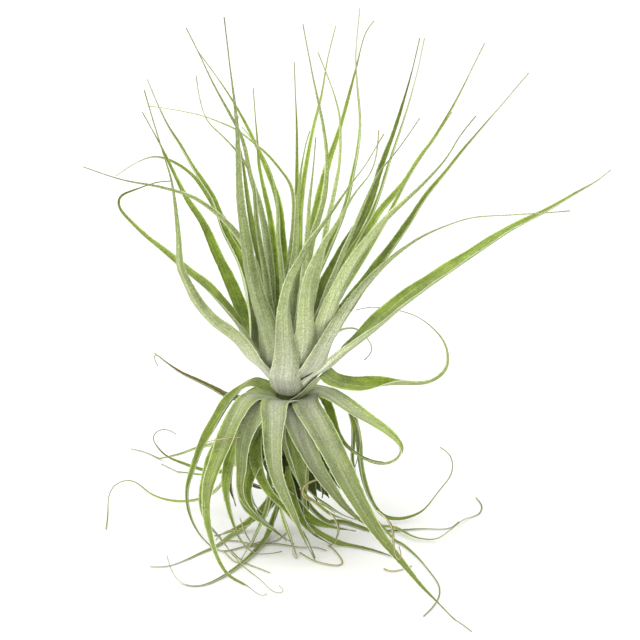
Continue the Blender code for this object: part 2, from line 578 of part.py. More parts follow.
def shifted(curve, centre, move, start, reach):
    """The route with the part round its centre point moved, and its base left in place."""
    result = []
    for index, point in enumerate(curve):
        away = abs(index - centre) * ROUTE_STEP / reach
        weight = smoothstep(1 - away) * smoothstep((index * ROUTE_STEP - start) / CLEAR_START)
        place = point + move * weight
        place.z = max(place.z, min(point.z, FLOOR_HEIGHT))
        result.append(place)
    return result


def bend_clear(blade, tree, upper):
    """Moves parts of the route along the view or square to the blade until nothing meets."""
    curve = blade.curve
    held = blade.root_length - (CLEAR_IN_BASE if upper else 0)
    found = clashes(blade, curve, tree)
    stuck = set()
    for _ in range(CLEAR_ROUNDS):
        open_stations = sorted(set(found) - stuck)
        if not open_stations:
            break
        station = open_stations[-1]
        rows = blade.across(curve)
        left, middle, right, tangent = rows[station]
        centre = min(range(len(curve)), key=lambda index: (curve[index] - middle).length)
        normal = tangent.cross(right - left).normalized()
        outward = Vector((middle.x, middle.y, 0)).normalized()
        best = (len(found), found, curve)
        for size in CLEAR_SHIFTS:
            ways = (-AHEAD, AHEAD)
            if size <= CLEAR_MOST_ASIDE:
                ways += (normal, -normal, outward)
            for way in ways:
                for reach in CLEAR_REACHES:
                    trial = shifted(curve, centre, way * size, held, reach)
                    trial_found = clashes(blade, trial, tree)
                    if len(trial_found) < best[0]:
                        best = (len(trial_found), trial_found, trial)
            if best[0] == 0:
                break
        if best[0] < len(found):
            found, curve = best[1:]
            stuck = set()
        else:
            stuck.add(station)
    blade.curve = curve
    return found


def stem_mesh():
    points = []
    faces = []
    for height, radius in STEM_RINGS:
        for side in range(STEM_SIDES):
            angle = math.tau * side / STEM_SIDES
            points.append(Vector((radius * math.cos(angle), radius * math.sin(angle), height)))
    for ring in range(len(STEM_RINGS) - 1):
        for side in range(STEM_SIDES):
            a = ring * STEM_SIDES + side
            b = ring * STEM_SIDES + (side + 1) % STEM_SIDES
            faces += [(a, b, b + STEM_SIDES), (a, b + STEM_SIDES, a + STEM_SIDES)]
    top = (len(STEM_RINGS) - 1) * STEM_SIDES
    for side in range(1, STEM_SIDES - 1):
        faces.append((0, side + 1, side))
        faces.append((top, top + side, top + side + 1))
    return points, faces


def add_object(name, points, faces, material, collection):
    mesh = bpy.data.meshes.new(name)
    mesh.from_pydata([point / 1000 for point in points], [], faces)
    mesh.materials.append(material)
    obj = bpy.data.objects.new(name, mesh)
    collection.objects.link(obj)


def main():
    remove_all()
    collection = bpy.data.collections.new(COLLECTION)
    bpy.context.scene.collection.children.link(collection)
    leaf_green = plain_material("leaf_green", (0.30, 0.42, 0.13), 0.6)
    stem_brown = plain_material("stem_brown", (0.22, 0.15, 0.08), 0.8)
    solids = {"stem": stem_mesh()}
    upper = ((HEART_LEAVES, HEART_SHEATH, HEART_PITCH), (OUTER_LEAVES, OUTER_SHEATH, OUTER_PITCH))
    lower = ((UNDER_LEAVES, UNDER_SHEATH, LOWER_PITCH), (SKIRT_LEAVES, SKIRT_SHEATH, LOWER_PITCH))
    groups = (
        (HEART_LEAVES + OUTER_LEAVES, nest(upper, UPPER_FIRST_RADIUS, UPPER_SWING_COST), upper_base),
        (UNDER_LEAVES + SKIRT_LEAVES, nest(lower, LOWER_FIRST_RADIUS, LOWER_SWING_COST), lower_base),
    )
    placed_points, placed_faces = map(list, solids["stem"])
    for leaves, places, base in groups:
        for spec, (bearing, radius, half_turn) in zip(leaves, places):
            blade = Blade(spec, bearing, radius, half_turn, base)
            left_over = bend_clear(blade, tree_of(placed_points, placed_faces), base is upper_base)
            if left_over:
                stops = sorted(set(left_over))
                print(f"{blade.name}: {len(left_over)} face pairs still meet at {stops}")
            points, faces = blade.solid(blade.curve, BLADE_THICKNESS / 2)
            solids[blade.name] = (points, faces)
            first = len(placed_points)
            placed_points += points
            placed_faces += [tuple(index + first for index in face) for face in faces]
    low = Vector(min(point[axis] for point in placed_points) for axis in range(3))
    high = Vector(max(point[axis] for point in placed_points) for axis in range(3))
    centre = Vector(((low.x + high.x) / 2, (low.y + high.y) / 2, 0))
    for name, (points, faces) in solids.items():
        material = stem_brown if name == "stem" else leaf_green
        add_object(name, [point - centre for point in points], faces, material, collection)


main()
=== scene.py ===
import math

import bpy
import numpy as np
from mathutils import Matrix, Vector
from mathutils.bvhtree import BVHTree


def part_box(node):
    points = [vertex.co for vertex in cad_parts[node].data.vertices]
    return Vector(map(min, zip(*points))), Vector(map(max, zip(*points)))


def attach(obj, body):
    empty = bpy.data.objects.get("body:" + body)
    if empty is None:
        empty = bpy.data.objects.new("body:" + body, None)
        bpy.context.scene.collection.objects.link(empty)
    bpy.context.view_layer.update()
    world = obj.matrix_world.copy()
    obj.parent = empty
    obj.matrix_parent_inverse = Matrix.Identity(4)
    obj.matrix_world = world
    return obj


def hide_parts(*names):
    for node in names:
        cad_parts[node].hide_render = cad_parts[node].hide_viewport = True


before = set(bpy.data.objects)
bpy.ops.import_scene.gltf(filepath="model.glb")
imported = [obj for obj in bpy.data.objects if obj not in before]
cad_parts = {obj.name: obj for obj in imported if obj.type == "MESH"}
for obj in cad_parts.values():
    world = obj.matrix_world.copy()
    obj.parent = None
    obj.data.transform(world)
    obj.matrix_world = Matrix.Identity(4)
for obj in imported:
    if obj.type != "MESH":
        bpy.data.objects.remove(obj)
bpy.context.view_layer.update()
stemLow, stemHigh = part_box("stem")
stemPlace = Vector(((stemLow.x + stemHigh.x) / 2, (stemLow.y + stemHigh.y) / 2, 0))
print("frame loaded:", len(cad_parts), "nodes")

# The view that the leaf routes were read from: a long lens, looking 22 degrees down.
pictureView = {
    "tilt": math.radians(22), "aim": Vector((15, 0, 124)), "aimUp": 115, "distance": 1778,
    "lens": 200, "sensor": 36, "clip": (0.01, 30),  # metres
}
ahead = Vector((0, math.cos(pictureView["tilt"]), -math.sin(pictureView["tilt"])))
pictureUp = Vector((0, math.sin(pictureView["tilt"]), math.cos(pictureView["tilt"])))
eye = pictureView["aim"] - ahead * pictureView["distance"]

stemRings = (
    (50, 2.5), (52, 4.6), (58, 5.6), (66, 6.2), (82, 6.2), (91, 5.4), (97, 4.2), (102, 2.6),
    (104, 1.0))
stemSides = 24

# The solids' own values, repeated so that the routes come out the same.
solidBlade = {
    "thickness": 0.7, "gap": 0.45, "tipWidth": 0.8, "taperPower": 1.2,
    "tapers": {
        "outer_05": 1.5, "outer_06": 1.5, "outer_14": 1.6, "outer_07": 1.5, "outer_11": 2.8,
        "outer_08": 1.7, "outer_12": 1.15, "outer_13": 2, "outer_15": 3.2, "skirt_14": 2,
        "skirt_15": 1.7, "skirt_16": 2.2, "skirt_17": 1.6, "skirt_18": 2, "skirt_19": 2,
        "skirt_23": 1.8, "skirt_24": 2.2},
    "foldBase": math.radians(14), "foldMiddle": math.radians(28), "foldShare": 0.4,
    "rollShare": 0.45,
    "earlyRolls": {
        "outer_12": 0.2, "outer_15": 0.2, "skirt_24": 0.3, "skirt_23": 0.3, "skirt_22": 0.3},
    "floorHeight": 0.25, "flattenBelow": 7, "stationLength": 13,
    "stationTurn": math.radians(20), "mostStations": 24, "routeStep": 2.0, "routeSmoothing": 3,
}
nestShape = {
    "widest": math.radians(32), "swings": (0, 5, -5, 10, -10, 15, -15, 20, -20, 25, -25, 30, -30),
    "sheathGrowth": 20, "sheathBlend": 32, "stemGap": 0.9, "sheathMargin": math.radians(3),
    "heartSheath": 0.35, "heartPitch": 1.7, "outerSheath": 0.9, "outerPitch": 2.2,
    "upperSwingCost": 0.05, "upperFirstRadius": 6.2, "upperTop": 101, "upperLowest": 87.5,
    "upperOutermost": 17.5, "upperDrop": 1.3, "upperSpread": 0.85,
    "underSheath": 0.45, "skirtSheath": 0.66, "lowerPitch": 1.8, "lowerSwingCost": 0.02,
    "lowerFirstRadius": 10.5, "lowerCrest": 80.5, "lowerRise": 1.4, "lowerSlope": 0.4,
}
# How the fine blade differs from the plain solid
fineBlade = {
    "tipWidth": 0.72,  # the real tips end in a thread
    "widen": 1.08,
    "clasp": 0.12, "clasps": {"outer_11": 0.35, "outer_13": 0.5}, "claspReach": 1.5,
    "widestTurn": math.radians(80),
    "tapers": {
        "outer_06": 1.2, "outer_09": 1.5, "outer_12": 1.0, "outer_15": 2.3, "skirt_03": 0.8,
        "skirt_07": 2.4, "skirt_08": 2.4, "skirt_10": 1.8, "skirt_12": 0.9, "skirt_17": 1.3,
        "skirt_18": 1.2, "skirt_20": 0.8, "skirt_21": 0.9, "skirt_24": 1.7},
    "foldBase": math.radians(16), "foldMiddle": math.radians(38),
    # folded deep at the base, then opening from one share of the length to another
    "deepFolds": {"outer_12": (math.radians(58), 0.16, 0.4)}, "deepBlend": 0.6,
    # turning on its way: shares of the length, and the degrees there
    "twists": {"outer_15": ((0.05, 0), (0.2, 38), (0.4, -55), (0.62, -105))},
    # the share of its width that one half starts with, and the length over which it widens
    "narrowStarts": {"outer_12": (0.3, 55)},
    "looseStart": 0.25, "looseWidens": 14,  # the same for both halves of a loose leaf
    "thickness": 0.72, "tipThickness": 0.3,
    "marginThickness": 0.3, "marginRise": 2.2, "marginWidth": 0.6, "leastInside": 0.55,
    "columns": (1, 0.68, 0.34, 0, -0.34, -0.68, -1),  # points across, between the margins
    "channel": 0.4,  # the fold's rounding
    # a narrower blade has less of these
    "serration": 0.16, "serrationHalf": 2.5, "ripple": 0.22, "rippleHalf": 5,
    "rippleLength": 23, "paleEdgeHalf": 1.6,
    "lowest": 0.4,  # above the floor
}
clearMoves = {
    "shifts": (1, 2, 3, 4.5, 6, 8, 10, 13), "mostAside": 3, "reaches": (22, 45), "start": 10,
    "inBase": 7, "rounds": 14,
}

# Upper leaves, from the heart outwards: name, flat width, share of the length at full width, how
# much of the inner face the picture shows (1 all of it, -1 the outer face), and the route as
# (right, up, near) in the picture: near is the distance towards the viewer.
heartLeaves = (
    ("heart_01", 10, 0.08, 0.7, (
        (1.5, 118, -8), (5, 145, -11), (6.5, 175, -15), (11.5, 208, -20), (16, 227, -24),
        (19, 246, -28), (23, 262, -30))),
    ("heart_02", 9, 0.08, 0.7, (
        (-2, 118, -9), (0, 140, -15), (2, 155, -20), (2.5, 175, -26), (3, 198, -33),
        (3, 214, -38), (2.5, 230, -43), (2, 244, -47))),
    ("heart_03", 9, 0.08, -0.6, (
        (4, 118, 7), (8, 140, 9), (13, 158, 12), (18, 176.5, 15), (19, 195, 18),
        (17, 212, 20), (11.5, 237, 20), (6.5, 263, 18))),
    ("heart_04", 11, 0.12, 0.9, (
        (6, 118, -6), (8.5, 140, -8), (13.5, 166, -12), (18.5, 189, -17), (26, 213, -24),
        (33, 240, -32), (38, 259, -38), (42, 264.5, -40))),
    ("heart_05", 9, 0.08, 0.4, (
        (8.5, 118, 0), (13, 135, -1), (20, 150, -3), (28, 169.5, -6), (32, 187, -8),
        (35, 204.5, -9), (35.5, 214.5, -9), (33.5, 237, -9), (33, 248, -9), (35, 271, -9))),
    ("heart_06", 9, 0.08, -0.5, (
        (8, 116, 5), (12, 135, 6), (17, 152, 8), (21, 170, 11), (24, 185, 14),
        (25.5, 199, 17), (25, 217, 20), (22.5, 227, 22), (18, 239, 23), (14, 249, 24))),
    ("heart_07", 10, 0.08, -0.8, (
        (0, 114, 9), (2, 135, 13), (4, 155, 18), (4, 169.5, 23), (5, 183, 28), (6, 192, 32),
        (8, 203, 37), (10, 209.5, 40))),
    ("heart_08", 10, 0.08, 0.8, (
        (-7, 116, -5), (-8, 136, -8), (-9, 150, -11), (-11, 168, -15), (-14, 182, -18),
        (-16, 193, -21), (-16.5, 203, -23), (-17.5, 217, -26), (-18.5, 231, -29))),
    ("heart_09", 10, 0.08, 0.8, (
        (-6, 112, -10), (-5, 130, -14), (-5, 152, -19), (-7, 175, -24), (-13, 192, -29),
        (-22, 212, -35), (-31, 228, -39), (-38.5, 239, -43), (-46, 249, -46))),
    ("heart_10", 9, 0.08, -0.8, (
        (6, 112, 10), (8, 135, 15), (9.5, 162, 21), (10, 173, 25), (11, 183, 29),
        (12, 194, 33), (13, 206.5, 38))),
    ("heart_11", 8, 0.05, -0.4, (
        (-6, 112, 8), (-2, 140, 10), (1, 166, 10), (0, 182, 8), (-6, 191, 7), (-12, 198, 6),
        (-18, 203, 5), (-26, 209.5, 3), (-34.5, 213.5, 1), (-43.5, 217, -1),
        (-57.5, 220, -3), (-71, 222, -5))),
    ("heart_12", 8, 0.05, -0.6, (
        (-3, 108, 12), (-5, 135, 17), (-6.5, 155, 22), (-7, 175, 28), (-11, 192, 34),
        (-18, 204, 38), (-24, 211.5, 41))),
    ("middle_01", 11, 0.1, 0.9, (
        (-11, 110, -1), (-13, 125, 0), (-15, 143, 2), (-19, 160, 4), (-21.5, 175, 5),
        (-24, 195, 5), (-26.5, 209, 4), (-26, 217, 3))),
    ("middle_02", 10, 0.05, -0.7, (
        (-10, 108, 8), (-11, 125, 11), (-11.5, 141, 14), (-13, 156, 17), (-16, 172, 20),
        (-20, 185, 22), (-24.5, 206, 24), (-30, 217, 24), (-38.5, 233, 23), (-45, 247, 21),
        (-52, 261, 18))),
    ("middle_03", 9, 0.05, -0.6, (
        (-10, 106, 12), (-13, 135, 20), (-17, 160, 28), (-19.5, 186, 34), (-23, 193.5, 36),
        (-27.5, 200, 37), (-34.5, 207.5, 39), (-41.5, 214.5, 40), (-45.5, 227, 40),
        (-47, 237, 39))),
    ("middle_04", 11, 0.12, 0.9, (
        (11, 112, -8), (18, 130, -12), (27, 148, -17), (35, 162, -21), (41, 175, -24),
        (46.5, 193, -29), (52, 208, -33), (56, 221, -37), (60.5, 237, -41), (65, 256, -45))),
    ("middle_05", 8, 0.05, 0.5, (
        (14, 112, -4), (21, 130, -5), (30, 147, -7), (38, 160, -9), (45, 177, -12),
        (50.5, 195, -15), (55.5, 210, -18), (59.5, 223, -20), (63.5, 238, -22),
        (67.4, 256, -24))),
    ("middle_06", 11, 0.08, 0.7, (
        (16, 110, 1), (25, 130, 0), (35, 150, -2), (45, 168, -5), (50, 174, -7),
        (57.5, 183, -10), (66, 197, -14), (72, 205, -17), (78, 215, -20), (85, 228, -24),
        (92, 242.5, -28), (97.5, 253.5, -31))),
    ("middle_07", 10, 0.08, 0.7, (
        (17, 108, 5), (26, 127, 6), (37, 145, 6), (47.5, 163, 5), (55, 177.5, 4),
        (61, 189, 2), (67, 198, 1), (74, 208, 0), (81, 219, -2))),
    ("middle_08", 8, 0.05, -0.5, (
        (13, 110, 11), (22, 135, 17), (33, 162, 25), (45, 189, 33), (51.5, 197, 36),
        (57.5, 205, 39), (65, 216, 43))),
)
outerLeaves = (
    ("outer_01", 11, 0.08, -0.6, (
        (-14, 106, 3), (-16, 125, 7), (-20, 144, 10), (-26, 155, 12), (-36.5, 167, 13),
        (-49, 176, 13), (-64.5, 181, 12), (-84, 185, 10), (-103.5, 191.5, 7))),
    ("outer_02", 11, 0.08, 0.8, (
        (-10, 106, -12), (-15, 128, -21), (-25, 148, -31), (-37.5, 170, -42),
        (-48.5, 186.5, -50), (-59, 194, -56), (-68, 196.5, -61), (-77, 193.5, -66),
        (-87, 187, -70))),
    ("outer_03", 13, 0.12, 0.5, (
        (-14, 106, -5), (-19, 121, -9), (-26, 143.5, -14), (-34, 159.5, -17), (-39, 175, -19),
        (-44.5, 184, -21), (-49.5, 192, -22), (-55, 202, -23), (-61, 211.5, -24),
        (-65.5, 221, -25), (-71.5, 235.5, -25))),
    ("outer_04", 13, 0.15, 0.8, (
        (-16, 102, -12), (-23, 116, -18), (-31.5, 134, -25), (-38, 148, -30),
        (-44, 162.5, -34), (-52, 175, -38), (-59, 189.5, -42), (-65.5, 203.5, -46),
        (-74, 219, -50))),
    ("outer_05", 12, 0.15, 0.6, (
        (17, 104, -8), (28, 118, -13), (45, 141.5, -20), (51.5, 150.5, -23), (60, 163, -27),
        (68, 176, -31), (78, 188.5, -35), (86.5, 199.5, -38), (99, 214.5, -42),
        (111, 228.5, -46), (119.5, 238.5, -48))),
    ("outer_06", 12, 0.1, 0.7, (
        (-20, 101.5, 7), (-26, 111.5, 10), (-34.5, 122.5, 12), (-42.5, 131.5, 13),
        (-50.5, 138, 13), (-57.5, 144, 12), (-65, 150.5, 11), (-72.5, 156.5, 9),
        (-79.5, 163.5, 6), (-85, 169.5, 3), (-86.5, 173.5, 1), (-85.5, 177, -1),
        (-81, 179, -4), (-74, 181.5, -7), (-66.5, 184, -10), (-60, 184.5, -12))),
    ("outer_07", 15, 0.1, -0.9, (
        (14, 100, 12), (18.5, 113, 18), (24, 128, 24), (31, 142, 29), (40.5, 155.5, 34),
        (49, 166, 38), (57.5, 174, 41), (66, 182, 43), (78, 195.5, 45), (85, 207, 46),
        (93, 217, 46))),
    ("outer_08", 15, 0.1, -0.9, (
        (7.5, 98, 17), (8.5, 108, 23), (8.6, 117, 29), (8.9, 126, 35), (10, 134.5, 41),
        (13, 143.5, 47), (17, 152, 51), (22, 160, 55), (27, 168.5, 60), (31, 176, 63),
        (35, 181.5, 65), (39.5, 187, 68), (42.5, 194, 70), (44, 203.5, 72), (44.5, 210, 73))),
    ("outer_09", 15, 0.12, -0.9, (
        (-9, 96, 19), (-12, 108, 25), (-17, 124, 32), (-20.5, 138, 37), (-22.5, 151, 41),
        (-25.5, 175, 44), (-27, 214, 43), (-30.5, 245, 36), (-33, 266.5, 29))),
    ("outer_10", 5, 0.1, 0.3, (
        (14, 98, -13), (21, 107, -20), (27.5, 110.5, -26), (31, 111, -28), (35, 109.5, -30),
        (39, 105, -31), (41.5, 101, -31), (39.5, 97, -30), (37, 95, -29))),
    ("outer_11", 15, 0.12, -0.9, (
        (13, 92, 16), (19.5, 103.5, 18), (26.5, 116, 19), (36, 130, 20), (45, 140, 21),
        (55, 149, 24), (66, 156.5, 28), (78, 162, 31), (90.5, 166, 33), (111, 167.5, 34),
        (128, 168.5, 33), (140, 169.5, 32))),
    ("outer_12", 16, 0.25, 0.55, (
        (19, 91.5, 14), (27, 98.5, 12), (36, 105, 8), (46, 113, 3), (56, 121.5, -3),
        (70, 132, -12), (85, 142.5, -15), (96, 150, -17), (111, 160, -19), (128, 169, -22),
        (144.5, 179, -26), (153, 184, -28), (160.5, 190, -30))),
    ("outer_13", 14, 0.2, -0.85, (
        (-19, 94.5, 17), (-27.5, 104, 23), (-39, 113, 30), (-46.5, 122, 35), (-50.5, 129.5, 38),
        (-53, 135, 40), (-55.5, 140.5, 41), (-56, 153, 40), (-57, 166, 38), (-59.5, 185, 34),
        (-63.5, 198.5, 31), (-68, 213, 27), (-73, 230, 23))),
    ("outer_14", 15, 0.1, -0.8, (
        (-1.5, 97, 21), (-2, 110, 27), (-1.7, 122.5, 34), (1.2, 135, 39), (6, 144.5, 42),
        (9, 151, 45), (15, 160, 48), (22, 170, 52), (31, 183.5, 57), (37.5, 192, 60),
        (42, 199.5, 62), (47, 208, 64))),
    ("outer_15", 14, 0.18, 0.85, (
        (20, 87, 9), (28, 84, 10), (40, 82.5, 10), (55, 82.7, 10), (70, 83.5, 8),
        (78.5, 90, 3), (79, 100, -4), (75, 107.5, -10), (65, 116, -17), (57.5, 119, -20),
        (48, 121, -22), (40, 121.5, -24), (33, 120, -25))),
)

# Lower leaves, bent down over the ones before them. A point of two numbers lies on the floor.
underLeaves = (
    ("skirt_01", 9, 0.3, 0.8, (
        (-1, 60.5, 14), (1, 49, 17), (4, 37.5, 19), (6.5, 31.5, 19), (7, 27, 17), (5, 24, 14))),
    ("skirt_02", 8, 0.3, 0.7, (
        (-12, 66, 6), (-16, 55, 9), (-19, 42.5, 10), (-19.5, 30, 11), (-18, 23.5, 11),
        (-14, 18.5, 10), (-11, 17, 9))),
    ("skirt_03", 8, 0.1, 0.5, (
        (6, 60, 13), (6, 38, 12), (6, 22, 10), (9, 12, 7), (13.5, 8.5, 5), (25.5, 3, 2),
        (38, 0.5), (51.5, -3.5), (55, -5))),
    ("skirt_04", 8, 0.1, 0.5, (
        (7, 66, -12), (5, 45, -15), (6, 27, -17), (13.5, 17, -21), (25.5, 11.5, -26),
        (42.5, 9), (52, 9.5), (66.5, 10.5), (79.5, 10.5), (84.5, 14))),
    ("skirt_05", 9, 0.1, 0.5, (
        (-5, 66, -12), (-4, 44, -12), (-5, 30, -11), (-11, 21, -11), (-17.5, 15, -13),
        (-25.5, 9, -15), (-36.5, 2), (-44.5, -1.5), (-53, -5.5), (-62, -8.5), (-70, -8.5))),
    ("skirt_06", 8, 0.2, 0.6, (
        (-9, 66, 11), (-9, 46, 14), (-9, 32, 16), (-11, 20, 17), (-14.5, 13, 17),
        (-20, 2.5, 15), (-24.5, -5))),
    ("skirt_07", 8, 0.1, 0.5, (
        (14, 68, -7), (19, 50, -11), (27, 34, -15), (36, 20, -17), (45, 11, -17),
        (52, 7, -16), (63, 5), (71.5, 4.5), (79.5, 10.5), (88, 16), (93.5, 17), (96, 22),
        (93, 26))),
    ("skirt_08", 8, 0.1, 0.5, (
        (14, 66, 7), (19, 50, 9), (28, 34, 9), (38, 20, 4), (46, 11, -3), (53, 4.5),
        (62, -2), (69.5, -10.5), (74.5, -18), (74.5, -23.5), (71.5, -28.5), (66.5, -33.5))),
    ("skirt_09", 8, 0.1, 0.5, (
        (0, 62, -14), (-1, 42, -17), (-4, 26, -17), (-8, 14, -15), (-13.5, 3.5),
        (-18, -1.5), (-25.5, -8), (-36.5, -15), (-44.5, -18), (-51, -18), (-55.5, -15),
        (-59, -8.5), (-61.5, -2.5))),
    ("skirt_10", 8, 0.1, 0.3, (
        (-14, 74, -13), (-24, 56, -23), (-30, 40, -29), (-36, 30, -33), (-43.5, 25.5, -37),
        (-52.5, 24, -41), (-62, 25, -45), (-70, 28, -48), (-76.5, 33.5, -49), (-80.5, 35, -48),
        (-85, 34, -46), (-89, 31, -42), (-91, 25.5, -37), (-91, 19, -33), (-92, 10))),
    ("skirt_11", 8, 0.1, 0.3, (
        (-13, 76, -20), (-22, 58, -32), (-28, 44, -40), (-32.5, 39, -45), (-42, 39.5, -52),
        (-50, 42, -58), (-55.5, 44, -61), (-62, 47, -65), (-66, 51, -67), (-69, 56.5, -68),
        (-66, 60, -68), (-61, 60.5, -67), (-57, 58, -66))),
    ("skirt_12", 7, 0.05, 0.3, (
        (-9, 80, -18), (-17, 66, -32), (-26, 58, -46), (-36.5, 53, -63), (-47, 50.5, -80),
        (-55.5, 47.5, -92), (-63.5, 46, -103), (-73, 45, -115), (-79.5, 46, -119))),
    ("skirt_13", 7, 0.05, 0.3, (
        (-4, 78, -19), (-10, 62, -34), (-20, 48, -48), (-32, 40, -60), (-43, 37.5, -71),
        (-51, 38.5, -82), (-64.5, 40, -99))),
)
skirtLeaves = (
    ("skirt_14", 13, 0.2, 0.9, (
        (-14, 74, 17), (-18, 66, 22), (-20.5, 60, 25), (-23, 49, 27), (-23.5, 39, 27),
        (-24.5, 33, 26), (-23, 25.5, 25), (-17, 18, 22), (-9, 11, 14), (2, 3, 0))),
    ("skirt_15", 11, 0.3, 0.8, (
        (-17, 76, 9), (-20.5, 70, 12), (-24, 60.5, 14), (-28, 47.5, 15), (-31, 33, 15),
        (-30, 21.5, 13), (-27, 11, 10), (-24.5, 5.5, 7), (-17.5, -1.5), (-9.5, -1.5),
        (-4, -0.5))),
    ("skirt_16", 10, 0.1, 0.6, (
        (-17, 80, 3), (-24, 73.5, 7), (-28.5, 65.5, 10), (-34, 55, 12), (-39.5, 45, 14),
        (-42, 37, 14), (-44, 26, 14), (-42.5, 16, 13), (-38, 10, 11), (-33, 4, 8), (-29, -1.5),
        (-24.5, -6.5), (-19, -11.5), (-13.5, -16), (-9, -20.5), (-4.5, -22), (-3, -20.5),
        (-5.5, -18))),
    ("skirt_17", 11, 0.3, 0.9, (
        (-19, 77, 10), (-26, 67, 17), (-30.5, 56.5, 21), (-35.5, 44.5, 25), (-39.5, 33.5, 27),
        (-41, 21.5, 28), (-39.5, 9.5, 29), (-35.5, -3.5, 32), (-30.5, -11.5, 36), (-21.5, -18),
        (-13.5, -23.5), (-11.5, -22))),
    ("skirt_18", 11, 0.2, 0.7, (
        (-19, 84.5, -6), (-25.5, 79, -10), (-30.5, 73, -12), (-37.3, 62, -15), (-42.8, 53, -17),
        (-47.5, 41, -19), (-51, 29.5, -19), (-50, 19, -16), (-46, 9.5, -10), (-38, 0.5))),
    ("skirt_19", 10, 0.2, 0.5, (
        (24.5, 78.5, -10), (29, 72, -12), (31, 67, -13), (33, 55, -15), (34, 45, -16),
        (36, 35, -17), (40, 25, -19), (46, 17, -21), (52.5, 15.5, -24), (58, 16, -26),
        (66.5, 19.5, -28), (71.5, 25.5, -29), (76.5, 32, -30), (80.5, 37, -31),
        (81.5, 43.5, -32), (79.5, 48.5, -32), (75, 51.5, -32))),
    ("skirt_20", 7, 0.2, 0.5, (
        (-20, 78, -14), (-25, 75, -18), (-30.5, 75.5, -21), (-39, 80.5, -24), (-47, 84.5, -27),
        (-55, 88.5, -30), (-63, 94.5, -33), (-68, 98.5, -35))),
    ("skirt_21", 12, 0.35, 0.9, (
        (2.5, 68, 20), (5.5, 55.5, 27), (11, 43, 32), (19, 31.5, 34), (27, 21.5, 35),
        (36.5, 13.5, 36), (41, 10.5, 36))),
    ("skirt_22", 14, 0.2, 0.95, (
        (-7, 72, 21), (-6.5, 65, 27), (-7, 49, 35), (-5.5, 37.5, 37), (-1, 25.5, 35),
        (2.5, 17.5, 31), (7.5, 5, 22), (12.5, -5))),
    ("skirt_23", 13.5, 0.35, 0.95, (
        (8, 73, 20), (12.5, 65, 27), (20.5, 49, 37), (28.5, 33, 45), (36.5, 19, 51),
        (44.5, 7, 55), (52, -2, 59), (57.5, -8.5, 62), (65, -17.5, 67), (75, -27.5, 81),
        (82.5, -35), (91, -41))),
    ("skirt_24", 13, 0.12, 0.8, (
        (20, 79, 6), (25, 75, 8), (35, 67, 11), (45.5, 60.5, 12), (52.5, 55, 11),
        (55.5, 50, 9), (52, 45, 6), (44.5, 43.5, 3), (36.5, 46, 0), (29.5, 51, -3),
        (24, 58, -5), (20.5, 65, -6))),
)

